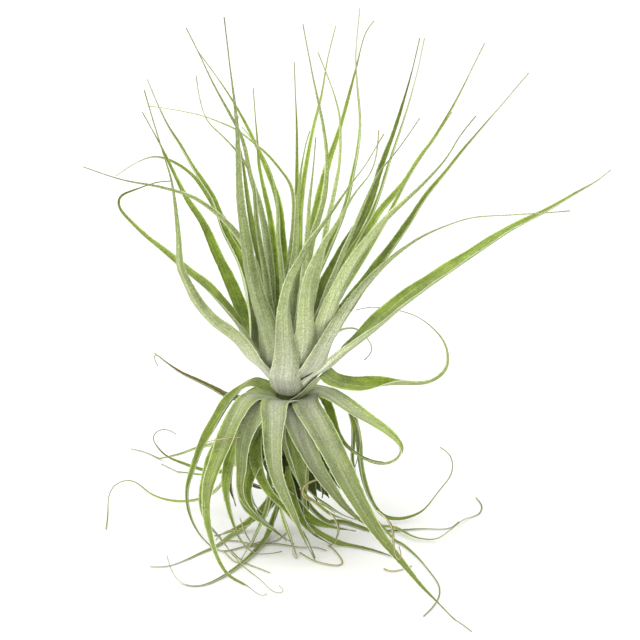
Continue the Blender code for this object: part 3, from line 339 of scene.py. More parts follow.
# Leaves that only the picture shows, behind the others or thin as a thread. They start free of the
# stem. After the name: flat width, share at full width, facing, felt, and the share where it starts
# to dry, which is below 0 for a dry one.
looseLeaves = (
    ("under_01", 11, 0.35, 0.9, 0.8, 1, (
        (-1, 66, 15), (1.5, 56, 21), (3.5, 46, 24), (5, 36, 24), (7, 29, 22), (9.5, 24, 19))),
    # the under leaves that get a tone of 0.4 to 0.55 in the tone table are dark fillers, painted
    # shade deep in the lower bundle
    ("under_02", 14, 0.45, 0.95, 0.1, 1, (
        (3, 66, 6), (8, 58, 8), (13.5, 45, 8), (16, 36, 7), (16.5, 30, 6), (16, 26, 4))),
    ("under_03", 8, 0.4, 0.8, 0.1, 1, (
        (-6, 66, 12), (-9.5, 57, 14), (-10, 45, 15), (-8, 35, 15), (-5, 25, 14))),
    ("under_04", 7, 0.2, 0.8, 0.3, 1, (
        (-14, 60, 14), (-16.5, 50.5, 20), (-15, 40.5, 23), (-10, 30, 25), (-3, 22.5, 25),
        (3, 14.5, 23), (8.5, 6, 18), (12.5, -4))),
    ("under_05", 9.5, 0.45, 0.8, 0.15, 1, (
        (-11, 60, 12), (-14.5, 49.5, 17), (-18.5, 40.5, 19), (-21, 30.5, 20), (-19.5, 23, 20),
        (-14.5, 16.5, 19), (-7, 10, 14), (-1.5, 4.5, 6))),
    ("under_06", 4, 0.3, 0.5, 0.1, 0.3, (
        (-27, 38, 16), (-20, 34, 18), (-14, 31.5, 20), (-8, 31, 20), (-2, 33, 18))),
    ("under_07", 9, 0.4, 0.8, 0.1, 1, (
        (-21, 66, 2), (-26, 54, 4), (-29, 42, 4), (-29.5, 32, 4), (-27, 22, 3))),
    ("under_08", 12, 0.3, 0.9, 0.1, 1, (
        (9, 62, 0), (15, 50, 1), (20, 40, 1), (26, 32, 1), (33, 25, 0), (41, 20, -2))),
    ("under_09", 7, 0.2, 0.6, 0.2, 1, (
        (-3, 36, 8), (-8, 25, 8), (-13, 15, 6), (-16.5, 8, 4), (-19.5, 1.5))),
    ("under_10", 3.4, 0.5, 0.5, 0.1, 1, (
        (27, 74, -6), (30.5, 65, -8), (31, 55, -10), (30.5, 46, -11), (32.5, 38, -12),
        (37, 27, -13))),
    ("under_11", 3, 0.5, 0.3, 0.1, 1, (
        (29, 73, -8), (33, 63, -10), (34.5, 55, -11), (34, 47, -12), (32, 40, -12))),
    ("under_12", 6, 0.3, 0.8, 0.1, 1, (
        (8, 82, -3), (14.5, 78, -5), (19.5, 68, -6), (21.5, 62, -5), (25.5, 54.5, -4),
        (32, 48.5, -2), (40, 45, 0), (47, 43.7, 3))),
    ("under_13", 12, 0.5, 0.9, 0.1, 1, (
        (2, 60, 4), (4, 48, 5), (7, 38, 5), (11, 30, 4), (14, 23, 3))),
    ("under_14", 9, 0.3, 0.8, 0.1, 1, (
        (-5, 33, 10), (2, 24.5, 11), (9, 18, 9), (16, 14, 6), (24, 11.5, 2), (33, 9.5, -4))),
    ("under_15", 8, 0.3, 0.8, 0.1, 1, (
        (-2, 38, 0), (-5, 28, 0), (-11, 20.5, -1), (-19, 14.5, -3), (-28, 10, -6), (-38, 6.5, -9))),
    ("under_16", 8, 0.3, 0.8, 0.2, 1, (
        (-1, 42, 8), (0, 31, 11), (4, 21, 12), (8, 13.5, 10), (14, 7, 6), (21, 2.5))),
    ("curl_01", 2.2, 0.5, 0.4, 0.2, -3, (
        (17, 37, 18), (11, 34, 25), (7.5, 32.5, 28), (5.7, 28.5, 29), (8, 26, 28), (12.5, 24.5, 27),
        (17, 22.5, 26), (20, 20.5, 26), (22.5, 18.5, 26))),
    ("curl_02", 3, 0.4, 0.6, 0.6, 0.9, (
        (5, 31, 22), (9, 26, 24), (14, 22, 24), (19, 18, 23), (25, 16, 21), (31, 14, 18))),
    ("curl_03", 2.4, 0.4, 0.4, 0.2, 0.4, (
        (9, 30, 18), (16, 23.5, 22), (21.5, 20, 22), (26, 17.5, 21), (33, 15, 18))),
    ("curl_04", 1.8, 0.5, 0.3, 0.3, -3, (
        (20, 19, 24), (22.5, 15.5, 22), (24, 11, 19), (23.5, 7, 16), (22, 3.5, 12), (19, 2))),
    ("curl_05", 3.2, 0.4, 0.4, 0.3, 0.2, (
        (-6, 26, 18), (-4, 19, 20), (-1.5, 12.5, 18), (1, 5, 12), (3, -2), (3.5, -5), (2, -3.5),
        (1, 0))),
    ("curl_06", 2, 0.4, 0.4, 0.2, -3, (
        (43, 20, 56), (47, 17, 60), (50, 13, 63), (51.3, 8, 65), (51.5, 2.5, 66), (52.5, -3, 68),
        (55, -6.5, 69), (56, -4, 69), (54.5, 2, 68))),
    ("curl_07", 1.9, 0.4, 0.4, 0.2, -3, (
        (-25, 56.5, 27), (-31, 56, 31), (-36, 55, 33), (-40, 54.5, 33), (-42, 53.5, 31))),
    ("curl_08", 1, 0.4, 0.4, 0.2, -3, (
        (-64, 95.5, -33), (-67.5, 98.5, -35), (-68.5, 97, -35), (-66, 92, -35))),
)
# Dry threads on the surface: name, flat width and route
threadLook = {"full": 0.5, "facing": 0, "felt": 0.3, "dryFrom": -3}
dryThreads = (
    ("thread_09", 0.6, ((47, -9.5), (50, -11), (56, -10), (61, -8))),
    ("thread_01", 0.9, (
        (-29.5, -0.5), (-26.5, -3.5), (-21.5, -7), (-15, -9.5), (-10, -11.5))),
    ("thread_02", 0.9, ((-37.5, 0.5), (-34.5, -1), (-25, 1), (-17, 3.5), (-10, 5))),
    ("thread_03", 0.9, (
        (-37, 5, 8), (-33.5, 8.5, 10), (-28.5, 10.5, 10), (-24, 10, 9), (-19, 14, 9),
        (-17.5, 18, 10))),
    ("thread_04", 0.9, ((-25, 16, 14), (-22.5, 9, 11), (-19, 3, 6), (-16, -1))),
    ("thread_05", 0.9, (
        (-22.5, 1), (-15, 2.5), (-7, 3), (6.5, 1), (12, 1.5), (18.5, -0.5))),
    ("thread_06", 0.9, (
        (5, -1.5), (13, -6), (25.5, -8), (26.5, -6.5), (23, -1), (20, 2))),
    ("thread_07", 0.9, ((-33, 4.5), (-27.5, 4.5), (-15.5, 2.5), (-7, 4.5), (-0.5, 9.5))),
    ("thread_08", 0.9, ((-33.5, -0.5), (-30, -4), (-27, -6.5), (-25, -6.5))),
)
# Two more loose leaves, which close the middle of the lower bundle; they are made nearly black
# (tone 0.42) as painted shade, standing for the shadow there
shadeFillLeaves = (
    ("under_17", 12, 0.75, 0.95, 0.1, 1, (
        (-3, 58, 0), (0, 47, 0), (2.5, 37, 0), (4.5, 29, 0), (6.5, 22, 0), (9, 16, -2))),
    ("under_18", 11, 0.7, 0.95, 0.1, 1, (
        (6, 58, -3), (10, 46, -4), (13.5, 37, -5), (17, 30, -6), (19.5, 26, -6))),
)


def smoothstep(value):
    value = min(max(value, 0), 1)
    return value * value * (3 - 2 * value)


def eased(knots, share):
    # the value at this share of the length, eased from knot to knot
    value = knots[0][1]
    for (low, lowValue), (high, highValue) in zip(knots, knots[1:]):
        value += (highValue - lowValue) * smoothstep((share - low) / (high - low))
    return value


def seenPoint(right, up, near=None):
    # the place of a point of the picture, at a distance towards the viewer or on the floor
    ray = ahead * pictureView["distance"] + Vector((right - pictureView["aim"].x, 0, 0))
    ray += pictureUp * (up - pictureView["aimUp"])
    if near is None:
        return eye + ray * ((solidBlade["floorHeight"] - eye.z) / ray.z)
    return eye + ray * ((-near - eye.y) / ray.y)


def stemRadius(height):
    for (low, lowRadius), (high, highRadius) in zip(stemRings, stemRings[1:]):
        if low <= height <= high:
            return lowRadius + (highRadius - lowRadius) * (height - low) / (high - low)
    return stemRings[-1][1]


def upperBase(radius):
    # heights and radii of a leaf base that rises off the stem and nests in its neighbours
    drop = (nestShape["upperOutermost"] - radius) * nestShape["upperDrop"]
    height = nestShape["upperLowest"] + drop
    start = stemRadius(height) + nestShape["stemGap"]
    return [
        (start + (radius - start) * s ** nestShape["upperSpread"],
         height + (nestShape["upperTop"] - height) * s)
        for s in (0, 0.12, 0.35, 0.65, 1)
    ]


def lowerBase(radius):
    # the same for a leaf that rises a little and bends down over its crest
    rise = (radius - nestShape["lowerFirstRadius"]) * nestShape["lowerRise"]
    crest = nestShape["lowerCrest"] + rise
    start = stemRadius(crest) + nestShape["stemGap"]
    height = crest - (radius - start) * nestShape["lowerSlope"]
    return [
        (start + (radius - start) * s, height + (crest - height) * math.sin(s * math.pi / 2))
        for s in (0, 0.25, 0.55, 0.85, 1)
    ]


def nestRadius(bearing, sheath, placed, radius, pitch):
    # the smallest base radius at this bearing that clears the leaves before it
    while True:
        half = min(sheath / 2 / radius, nestShape["widest"])
        under = [
            other
            for otherBearing, other, otherHalf in placed
            if abs(math.remainder(bearing - otherBearing, math.tau))
            < half + otherHalf + nestShape["sheathMargin"]
            and radius < other + pitch - 1e-6
        ]
        if not under:
            return radius, half
        radius = max(under) + pitch


def nest(groups, firstRadius, swingCost):
    # bearing, radius and half turn of each leaf base, from the inside outwards
    placed = []
    for leaves, sheathShare, pitch in groups:
        for name, width, full, facing, route in leaves:
            start = seenPoint(*route[0])
            best = None
            for swing in nestShape["swings"]:
                bearing = math.atan2(start.y, start.x) + math.radians(swing)
                radius, half = nestRadius(bearing, width * sheathShare, placed, firstRadius, pitch)
                cost = radius + abs(swing) * swingCost
                if best is None or cost < best[0] - 1e-6:
                    best = (cost, bearing, radius, half)
            placed.append(best[1:])
    return placed


def spline(points):
    # a centripetal Catmull-Rom curve through the points
    points = [points[0] * 2 - points[1], *points, points[-1] * 2 - points[-2]]
    curve = []
    for p0, p1, p2, p3 in zip(points, points[1:], points[2:], points[3:]):
        t1 = max((p1 - p0).length, 1e-6) ** 0.5
        t2 = t1 + max((p2 - p1).length, 1e-6) ** 0.5
        t3 = t2 + max((p3 - p2).length, 1e-6) ** 0.5
        steps = max(2, round((p2 - p1).length))
        for step in range(steps):
            t = t1 + (t2 - t1) * step / steps
            a1 = p0.lerp(p1, t / t1)
            a2 = p1.lerp(p2, (t - t1) / (t2 - t1))
            a3 = p2.lerp(p3, (t - t2) / (t3 - t2))
            b1 = a1.lerp(a2, t / t2)
            b2 = a2.lerp(a3, (t - t1) / (t3 - t1))
            curve.append(b1.lerp(b2, (t - t1) / (t2 - t1)))
    return curve + [points[-2]]


def resample(curve, costs):
    # points along the curve at equal shares of the running cost
    total = costs[-1]
    count = max(2, round(total))
    result = []
    place = 0
    for step in range(count + 1):
        target = total * step / count
        while place < len(costs) - 2 and costs[place + 1] < target:
            place += 1
        span = max(costs[place + 1] - costs[place], 1e-9)
        share = min(max((target - costs[place]) / span, 0), 1)
        result.append(curve[place].lerp(curve[place + 1], share))
    return result


def running(values):
    total = [0]
    for value in values:
        total.append(total[-1] + value)
    return total


def evenRoute(points):
    curve = spline(points)
    steps = [(b - a).length / solidBlade["routeStep"] for a, b in zip(curve, curve[1:])]
    curve = resample(curve, running(steps))
    for _ in range(solidBlade["routeSmoothing"]):
        inner = [(a + b * 2 + c) / 4 for a, b, c in zip(curve, curve[1:], curve[2:])]
        curve = [curve[0], *inner, curve[-1]]
    for point in curve:
        point.z = max(point.z, solidBlade["floorHeight"])
    return curve


def stations(curve):
    # fewer points of the route: close where it turns, wide apart where it runs straight
    costs = [0]
    for index in range(1, len(curve)):
        step = curve[index] - curve[index - 1]
        turn = 0
        if index + 1 < len(curve):
            turn = step.angle(curve[index + 1] - curve[index], 0)
        cost = step.length / solidBlade["stationLength"] + turn / solidBlade["stationTurn"]
        costs.append(costs[-1] + cost)
    if costs[-1] > solidBlade["mostStations"]:
        costs = [cost * solidBlade["mostStations"] / costs[-1] for cost in costs]
    return resample(curve, costs)


# The felt of silver scales. It thins out over a length in millimetres, from the base to the tip's
# share of it, and some leaves are silvery for longer or have less of it all over.
feltLook = {
    "upperLength": 42, "upperTip": 0.1, "lowerLength": 60, "lowerTip": 0.12,
    "lengths": {
        "outer_07": 70, "outer_08": 60, "outer_09": 30, "outer_11": 110, "outer_14": 60,
        "outer_15": 25, "skirt_14": 100, "skirt_21": 140, "skirt_22": 120, "skirt_23": 120,
        "skirt_24": 90},
    "shares": {
        "outer_04": 0.6, "outer_15": 0.5, "skirt_15": 0.4, "skirt_16": 0.5, "skirt_18": 0.3,
        "skirt_20": 0.2},
}
# The share of the length where a leaf starts to dry: its tip alone, except on these
dryLook = {"from": 0.965, "leaves": {"outer_02": 0.93, "skirt_10": 0.9, "skirt_20": -0.2}}


class Leaf:
    # one leaf: its route, and from that the frame of each station

    def __init__(self, spec, bearing, radius, halfTurn, base):
        self.name, self.width, self.full, self.facing, route = spec
        self.bearing = bearing
        self.halfTurn = halfTurn
        self.upper = base is upperBase
        self.felt = feltLook["shares"].get(self.name, 1)
        self.dryFrom = dryLook["leaves"].get(self.name, dryLook["from"])
        away = Vector((math.cos(bearing), math.sin(bearing), 0))
        start = [away * r + Vector((0, 0, z)) for r, z in base(radius)]
        self.rootLength = sum((b - a).length for a, b in zip(start, start[1:]))
        self.curve = evenRoute(start + [seenPoint(*point) for point in route])

    def halfWidth(self, share, along, radius, fine):
        # the sheath keeps to its own sector round the stem, then the blade widens and tapers
        power = solidBlade["tapers"].get(self.name, solidBlade["taperPower"])
        if fine:
            power = fineBlade["tapers"].get(self.name, power)
        taper = min(1, (1 - share) / (1 - self.full)) ** power
        if fine:
            if self.rootLength < 0:
                grown = smoothstep(along / fineBlade["looseWidens"])
                taper *= fineBlade["looseStart"] + (1 - fineBlade["looseStart"]) * grown
            blade = max(self.width * fineBlade["widen"] * taper, fineBlade["tipWidth"]) / 2
            # the real sheath clasps the stem, as wide there as the blade above it
            clasp = fineBlade["clasps"].get(self.name, fineBlade["clasp"])
            past = smoothstep(along / self.rootLength / fineBlade["claspReach"])
            return blade * (1 + clasp * (1 - past))
        blade = max(self.width * taper, solidBlade["tipWidth"]) / 2
        sheath = min(self.halfTurn * radius, blade)
        grown = smoothstep((along - self.rootLength) / nestShape["sheathGrowth"])
        return sheath + (blade - sheath) * grown

    def sides(self, tangents, shares):
        # the width direction: level at the stem, then carried along the route and rolled
        side = Vector((-math.sin(self.bearing), math.cos(self.bearing), 0))
        carried = []
        last = tangents[0]
        for tangent in tangents:
            side = last.rotation_difference(tangent) @ side
            side = (side - tangent * side.dot(tangent)).normalized()
            carried.append(side)
            last = tangent
        fullRoll = solidBlade["earlyRolls"].get(self.name, solidBlade["rollShare"])
        middle = min(range(len(shares)), key=lambda index: abs(shares[index] - fullRoll))
        tangent = tangents[middle]
        inner = tangent.cross(carried[middle])
        toward = -ahead + tangent * ahead.dot(tangent)
        toward.normalize()
        angle = math.atan2(tangent.dot(toward.cross(inner)), toward.dot(inner))
        wanted = math.copysign(math.acos(self.facing), angle)
        roll = math.remainder(wanted - angle, math.tau)
        start = self.rootLength / self.length
        rolled = []
        for share, tangent, side in zip(shares, tangents, carried):
            turned = roll * smoothstep((share - start) / (fullRoll - start))
            rolled.append(Matrix.Rotation(turned, 3, tangent) @ side)
        return rolled

    def frames(self, points, fine=False):
        # point, tangent, side, half width, fold, how free of the sheath, half turn, share, length
        lengths = running((b - a).length for a, b in zip(points, points[1:]))
        self.length = lengths[-1]
        shares = [length / self.length for length in lengths]
        ends = [points[0], *points, points[-1]]
        tangents = [(c - a).normalized() for a, c in zip(ends, ends[2:])]
        rows = []
        for point, tangent, side, share, length in zip(
                points, tangents, self.sides(tangents, shares), shares, lengths):
            radius = max(math.hypot(point.x, point.y), 1)
            half = self.halfWidth(share, length, radius, fine)
            shape = fineBlade if fine else solidBlade
            formed = smoothstep(share / solidBlade["foldShare"])
            fold = shape["foldBase"] + (shape["foldMiddle"] - shape["foldBase"]) * formed
            blend = nestShape["sheathBlend"]
            if fine and self.name in fineBlade["deepFolds"]:
                deep, opens, opened = fineBlade["deepFolds"][self.name]
                fold = deep + (fold - deep) * smoothstep((share - opens) / (opened - opens))
                blend *= fineBlade["deepBlend"]
            if fine and self.name in fineBlade["twists"]:
                twist = math.radians(eased(fineBlade["twists"][self.name], share))
                side = Matrix.Rotation(twist, 3, tangent) @ side
            fold *= smoothstep((point.z - solidBlade["floorHeight"]) / solidBlade["flattenBelow"])
            free = smoothstep((length - self.rootLength) / blend)
            turn = min(half / radius, fineBlade["widestTurn"] if fine else nestShape["widest"])
            rows.append((point, tangent, side, half, fold, free, turn, share, length))
        return rows

    def place(self, row, u, lift):
        # a point u of the way across a station, with the folded blade's lift there
        point, tangent, side, half, fold, free, turn, share, length = row
        inner = tangent.cross(side)
        blade = point + side * (math.cos(fold) * half * u) + inner * (math.sin(fold) * half * lift)
        return (Matrix.Rotation(turn * u, 3, "Z") @ point).lerp(blade, free)

    def solid(self, curve, half):
        # points and faces of the plain blade, this far to each side of its middle surface
        points = []
        for row in self.frames(stations(curve)):
            tangent = row[1]
            left = self.place(row, -1, 1)
            middle = row[0]
            right = self.place(row, 1, 1)
            atLeft = tangent.cross(middle - left).normalized()
            atRight = tangent.cross(right - middle).normalized()
            atMiddle = (atLeft + atRight).normalized()
            for sign in (half, -half):
                points += [left + atLeft * sign, middle + atMiddle * sign, right + atRight * sign]
        for point in points:
            point.z = max(point.z, 0)
        faces = []
        for row in range(0, len(points) - 6, 6):
            for a, b in ((0, 1), (1, 2), (3, 4), (4, 5), (3, 0), (2, 5)):
                faces += [(row + a, row + 6 + b, row + b), (row + a, row + 6 + a, row + 6 + b)]
        return points, faces


def noBase(radius):
    return []


def looseLeaf(name, width, full, facing, felt, dryFrom, route):
    # a leaf of the picture alone, with nothing of it wrapped round the stem
    start = seenPoint(*route[0])
    bearing = math.atan2(start.y, start.x)
    leaf = Leaf((name, width, full, facing, route), bearing, 0, 0, noBase)
    leaf.rootLength = -nestShape["sheathBlend"]
    leaf.felt, leaf.dryFrom = felt, dryFrom
    return leaf


def clashes(leaf, curve, tree):
    # stations at which the blade, made thicker by the gap, meets the leaves before it
    points, faces = leaf.solid(curve, solidBlade["thickness"] / 2 + solidBlade["gap"])
    pairs = BVHTree.FromPolygons(points, faces).overlap(tree)
    return [faces[face][0] // 6 for face, _ in pairs]


def shifted(curve, centre, move, start, reach):
    # the route with the part round its centre point moved, and its base left in place
    result = []
    for index, point in enumerate(curve):
        away = abs(index - centre) * solidBlade["routeStep"] / reach
        started = (index * solidBlade["routeStep"] - start) / clearMoves["start"]
        place = point + move * (smoothstep(1 - away) * smoothstep(started))
        place.z = max(place.z, min(point.z, solidBlade["floorHeight"]))
        result.append(place)
    return result


def bendClear(leaf, tree):
    # moves parts of the route along the view or square to the blade until nothing meets
    curve = leaf.curve
    found = clashes(leaf, curve, tree)
    start = leaf.rootLength - (clearMoves["inBase"] if leaf.upper else 0)
    stuck = set()
    for _ in range(clearMoves["rounds"]):
        openStations = sorted(set(found) - stuck)
        if not openStations:
            break
        station = openStations[-1]
        row = leaf.frames(stations(curve))[station]
        middle, tangent = row[:2]
        centre = min(range(len(curve)), key=lambda index: (curve[index] - middle).length)
        normal = tangent.cross(leaf.place(row, 1, 1) - leaf.place(row, -1, 1)).normalized()
        outward = Vector((middle.x, middle.y, 0)).normalized()
        best = (len(found), found, curve)
        for size in clearMoves["shifts"]:
            ways = (-ahead, ahead)
            if size <= clearMoves["mostAside"]:
                ways += (normal, -normal, outward)
            for way in ways:
                for reach in clearMoves["reaches"]:
                    trial = shifted(curve, centre, way * size, start, reach)
                    trialFound = clashes(leaf, trial, tree)
                    if len(trialFound) < best[0]:
                        best = (len(trialFound), trialFound, trial)
            if best[0] == 0:
                break
        if best[0] < len(found):
            found, curve = best[1:]
            stuck = set()
        else:
            stuck.add(station)
    leaf.curve = curve


def stemSurface():
    points = []
    faces = []
    for height, radius in stemRings:
        for side in range(stemSides):
            angle = math.tau * side / stemSides
            points.append(Vector((radius * math.cos(angle), radius * math.sin(angle), height)))
    for ring in range(len(stemRings) - 1):
        for side in range(stemSides):
            a = ring * stemSides + side
            b = ring * stemSides + (side + 1) % stemSides
            faces += [(a, b, b + stemSides), (a, b + stemSides, a + stemSides)]
    return points, faces


def allLeaves():
    # every leaf with its route, placed one after the other as the solids were
    upper = (
        (heartLeaves, nestShape["heartSheath"], nestShape["heartPitch"]),
        (outerLeaves, nestShape["outerSheath"], nestShape["outerPitch"]))
    lower = (
        (underLeaves, nestShape["underSheath"], nestShape["lowerPitch"]),
        (skirtLeaves, nestShape["skirtSheath"], nestShape["lowerPitch"]))
    upperPlaces = nest(upper, nestShape["upperFirstRadius"], nestShape["upperSwingCost"])
    lowerPlaces = nest(lower, nestShape["lowerFirstRadius"], nestShape["lowerSwingCost"])
    placedPoints, placedFaces = stemSurface()
    leaves = []
    for specs, places, base in (
            (heartLeaves + outerLeaves, upperPlaces, upperBase),
            (underLeaves + skirtLeaves, lowerPlaces, lowerBase)):
        for spec, (bearing, radius, halfTurn) in zip(specs, places):
            leaf = Leaf(spec, bearing, radius, halfTurn, base)
            bendClear(leaf, BVHTree.FromPolygons(placedPoints, placedFaces))
            points, faces = leaf.solid(leaf.curve, solidBlade["thickness"] / 2)
            first = len(placedPoints)
            placedPoints += points
            placedFaces += [tuple(index + first for index in face) for face in faces]
            leaves.append(leaf)
    return leaves


def srgb(hexColour):
    # one sRGB hex value to the linear colour that a shader takes
    values = [int(hexColour[place:place + 2], 16) / 255 for place in (1, 3, 5)]
    linear = [v / 12.92 if v <= 0.04045 else ((v + 0.055) / 1.055) ** 2.4 for v in values]
    return (*linear, 1)


def setInputs(material, node, inputs):
    # links each input to another node's output, or sets its value
    for name, value in inputs.items():
        if isinstance(value, bpy.types.NodeSocket):
            material.node_tree.links.new(value, node.inputs[name])
        else:
            node.inputs[name].default_value = value


def addNode(material, kind, settings=None, inputs=None):
    # adds a node, sets its properties, and links or sets its inputs
    node = material.node_tree.nodes.new(kind)
    for name, value in (settings or {}).items():
        setattr(node, name, value)
    setInputs(material, node, inputs or {})
    return node


def newMaterial(name):
    material = bpy.data.materials.new(name)
    material.use_nodes = True
    return material, material.node_tree.nodes["Principled BSDF"]


# A leaf face is living green tissue under a felt of pressed silver scales. The scales hide the
# green and scatter light, so the face reads matt, pale and grainy, most of all near the base.
upperFace = {
    "deepGreen": "#62780f", "freshGreen": "#9cb236", "tipGreen": "#7c8e3a", "endGreen": "#5f6230",
    "silver": "#a9b17e", "baseSilver": "#b4b6a3", "feltShare": 0.85, "feltFloor": 0.02,
    "margin": "#e0e9b4", "marginShare": 0.7, "brown": "#8c7c45", "roughness": 0.62,
    "sheen": 0.05, "grainShare": 0.36, "grainDark": 0.744, "grainLight": 1.256,
}
underFace = {
    "deepGreen": "#6c7d35", "freshGreen": "#97a75a", "tipGreen": "#77883f", "endGreen": "#5f6230",
    "silver": "#bec59c", "baseSilver": "#d3d4c2", "feltShare": 0.8, "feltFloor": 0.22,
    "margin": "#e3e9c2", "marginShare": 0.7, "brown": "#8c7c45", "roughness": 0.72,
    "sheen": 0.2, "grainShare": 0.45, "grainDark": 0.68, "grainLight": 1.32,
}
# The same on both faces
faceSurface = {
    "IOR": 1.42, "Specular IOR Level": 0.3, "Sheen Roughness": 0.45,
    "Sheen Tint": srgb("#f2f5e6"), "Subsurface Weight": 0.1,
    "Subsurface Radius": (0.5, 1.0, 0.25), "Subsurface Scale": 0.0012,
}
faceRelief = {"Strength": 0.8, "Distance": 0.0003}
leafNumbers = ("felt", "marginDistance", "share", "dryness", "tone")  # read at every point

# How a face is put together: noises, then ranges, then sums, then mixes. Each step has a name, and
# a term is a number, a value of the face, a leaf number or the name of a step before it.
# Noises: dimensions, scale to the metre or stretch to the millimetre across and along the leaf,
# detail and roughness
facePatterns = {
    "blotches": ("3D", 140, 2, 0.55),  # greener patches of tissue, 7 mm across
    "grain": ("3D", 1900, 2, 0.6),  # scales of 0.15 mm, drawn 0.5 mm here so that they show
    "rows": ("2D", (0.22, 1.2, 1), 2, 0.6),  # rows of scales lie across it, 0.8 mm apart
    "veins": ("2D", (1.3, 0.02, 1), 2, 0.5),  # parallel veins run along it, 0.8 mm apart
    "feltAndShadeBands": ("4D", (0.2, 0.008, 1), 1, 0.5),  # broad bands 5 mm wide: thinner and thicker felt, and painted light and shade for the lit and shaded sides of a blade
}
bandsApart = 40  # the bands of a lighter leaf are other ones than a darker leaf's
# Ranges: what is followed, from one value to another, and what these two become
faceRanges = {
    "fresh": ("blotches", 0.35, 0.65, 0, 1),
    "veined": ("veins", 0.3, 0.7, 0, 0.45),
    "towardsTip": ("share", 0.3, 0.75, 0, 0.9),
    "atTip": ("share", 0.7, 1, 0, 0.9),
    "silvery": ("felt", 0.5, 1, 0, 1),
    "atMargin": ("marginDistance", 0.1, 0.55, "marginShare", 0),
    "dryPatches": ("blotches", 0.3, 0.6, 0.7, 1.1),
    "marginFelt": ("marginDistance", 0.4, 3, 0.5, 1),
    "grainFelt": ("grain", 0.3, 0.7, -0.5, 0.5),
    "rowFelt": ("rows", 0.35, 0.65, -0.14, 0.14),
    "bandFelt": ("feltAndShadeBands", 0.32, 0.68, -0.16, 0.16),
    "grainDepth": ("grain", 0.3, 0.7, "grainDark", "grainLight"),
    "veinDepth": ("veins", 0.3, 0.7, 1.14, 0.82),
    # painted light and shade: the bands make one side of a blade lighter and the other darker
    "paintedBandShade": ("feltAndShadeBands", 0.32, 0.68, 0.87, 1.13),
}
# Sums: the felt's cover is thin at the margins, and broken by the grain, the rows and the bands
faceSums = (
    ("cover", "MULTIPLY_ADD", "felt", "feltShare", "feltFloor"),
    ("cover", "MULTIPLY", "cover", "marginFelt"),
    ("broken", "ADD", "grainFelt", "rowFelt"),
    ("broken", "MULTIPLY", "broken", "grainShare"),
    ("cover", "ADD", "cover", "broken"),
    ("cover", "ADD", "cover", "bandFelt"),
    ("dry", "MULTIPLY", "dryness", "dryPatches"),
    # each leaf has its own depth of colour, partly painted shade; the scales' shadows speckle it,
    # and the bands paint a lighter and a shaded side on it
    ("toneAndShade", "MULTIPLY", "tone", "grainDepth"),
    ("toneAndShade", "MULTIPLY", "toneAndShade", "veinDepth"),
    ("toneAndShade", "MULTIPLY", "toneAndShade", "paintedBandShade"),
    ("height", "MULTIPLY", "rows", 0.4),
    ("height", "ADD", "grain", "height"),
)
# Mixes: how much of the second colour goes into the first
faceMixes = (
    ("colour", "fresh", "deepGreen", "freshGreen"),
    ("colour", "veined", "colour", "deepGreen"),
    ("colour", "towardsTip", "colour", "tipGreen"),
    ("colour", "atTip", "colour", "endGreen"),
    ("scales", "silvery", "silver", "baseSilver"),
    ("colour", "cover", "colour", "scales"),
    ("colour", "atMargin", "colour", "margin"),
    ("colour", "dry", "colour", "brown"),
)
colourMix = {"data_type": "RGBA", "clamp_factor": True}


def leafFaceMaterial(name, look):
    material, shader = newMaterial(name)
    made = {key: srgb(value) if isinstance(value, str) else value for key, value in look.items()}
    for key in leafNumbers:
        made[key] = addNode(
            material, "ShaderNodeAttribute", {"attribute_name": key}).outputs["Fac"]
    place = addNode(material, "ShaderNodeTexCoord").outputs["Object"]
    surface = addNode(material, "ShaderNodeUVMap", {"uv_map": "leafSurface"}).outputs[0]
    ownBands = addNode(
        material, "ShaderNodeMath", {"operation": "MULTIPLY"},
        {0: made["tone"], 1: bandsApart}).outputs[0]
    for key, (dimensions, scale, detail, roughness) in facePatterns.items():
        inputs = {"Vector": place, "Scale": scale, "Detail": detail, "Roughness": roughness}
        if dimensions != "3D":
            inputs["Scale"] = 1
            inputs["Vector"] = addNode(
                material, "ShaderNodeMapping", None, {"Vector": surface, "Scale": scale}).outputs[0]
        if dimensions == "4D":
            inputs["W"] = ownBands
        made[key] = addNode(
            material, "ShaderNodeTexNoise", {"noise_dimensions": dimensions}, inputs).outputs[0]
    for key, terms in faceRanges.items():
        made[key] = addNode(
            material, "ShaderNodeMapRange", {"clamp": True},
            {index: made.get(term, term) for index, term in enumerate(terms)}).outputs[0]
    for key, operation, *terms in faceSums:
        made[key] = addNode(
            material, "ShaderNodeMath", {"operation": operation},
            {index: made.get(term, term) for index, term in enumerate(terms)}).outputs[0]
    for key, share, under, over in faceMixes:
        made[key] = addNode(
            material, "ShaderNodeMix", colourMix,
            {0: made[share], 6: made[under], 7: made[over]}).outputs[2]
    toned = addNode(material, "ShaderNodeHueSaturation", None, {
        "Value": made["toneAndShade"], "Color": made["colour"]}).outputs[0]
    bump = addNode(
        material, "ShaderNodeBump", None, {**faceRelief, "Height": made["height"]}).outputs[0]
    setInputs(material, shader, {
        **faceSurface, "Base Color": toned, "Normal": bump, "Roughness": look["roughness"],
        "Sheen Weight": look["sheen"]})
    return material


# Scale hairs standing off the leaf margin: dry, papery and nearly white, in tufts of 2.5 mm
hairLook = {"cream": "#dfe8bd", "white": "#f0f2e0", "tufts": 400, "roughness": 0.7, "sheen": 0.3}


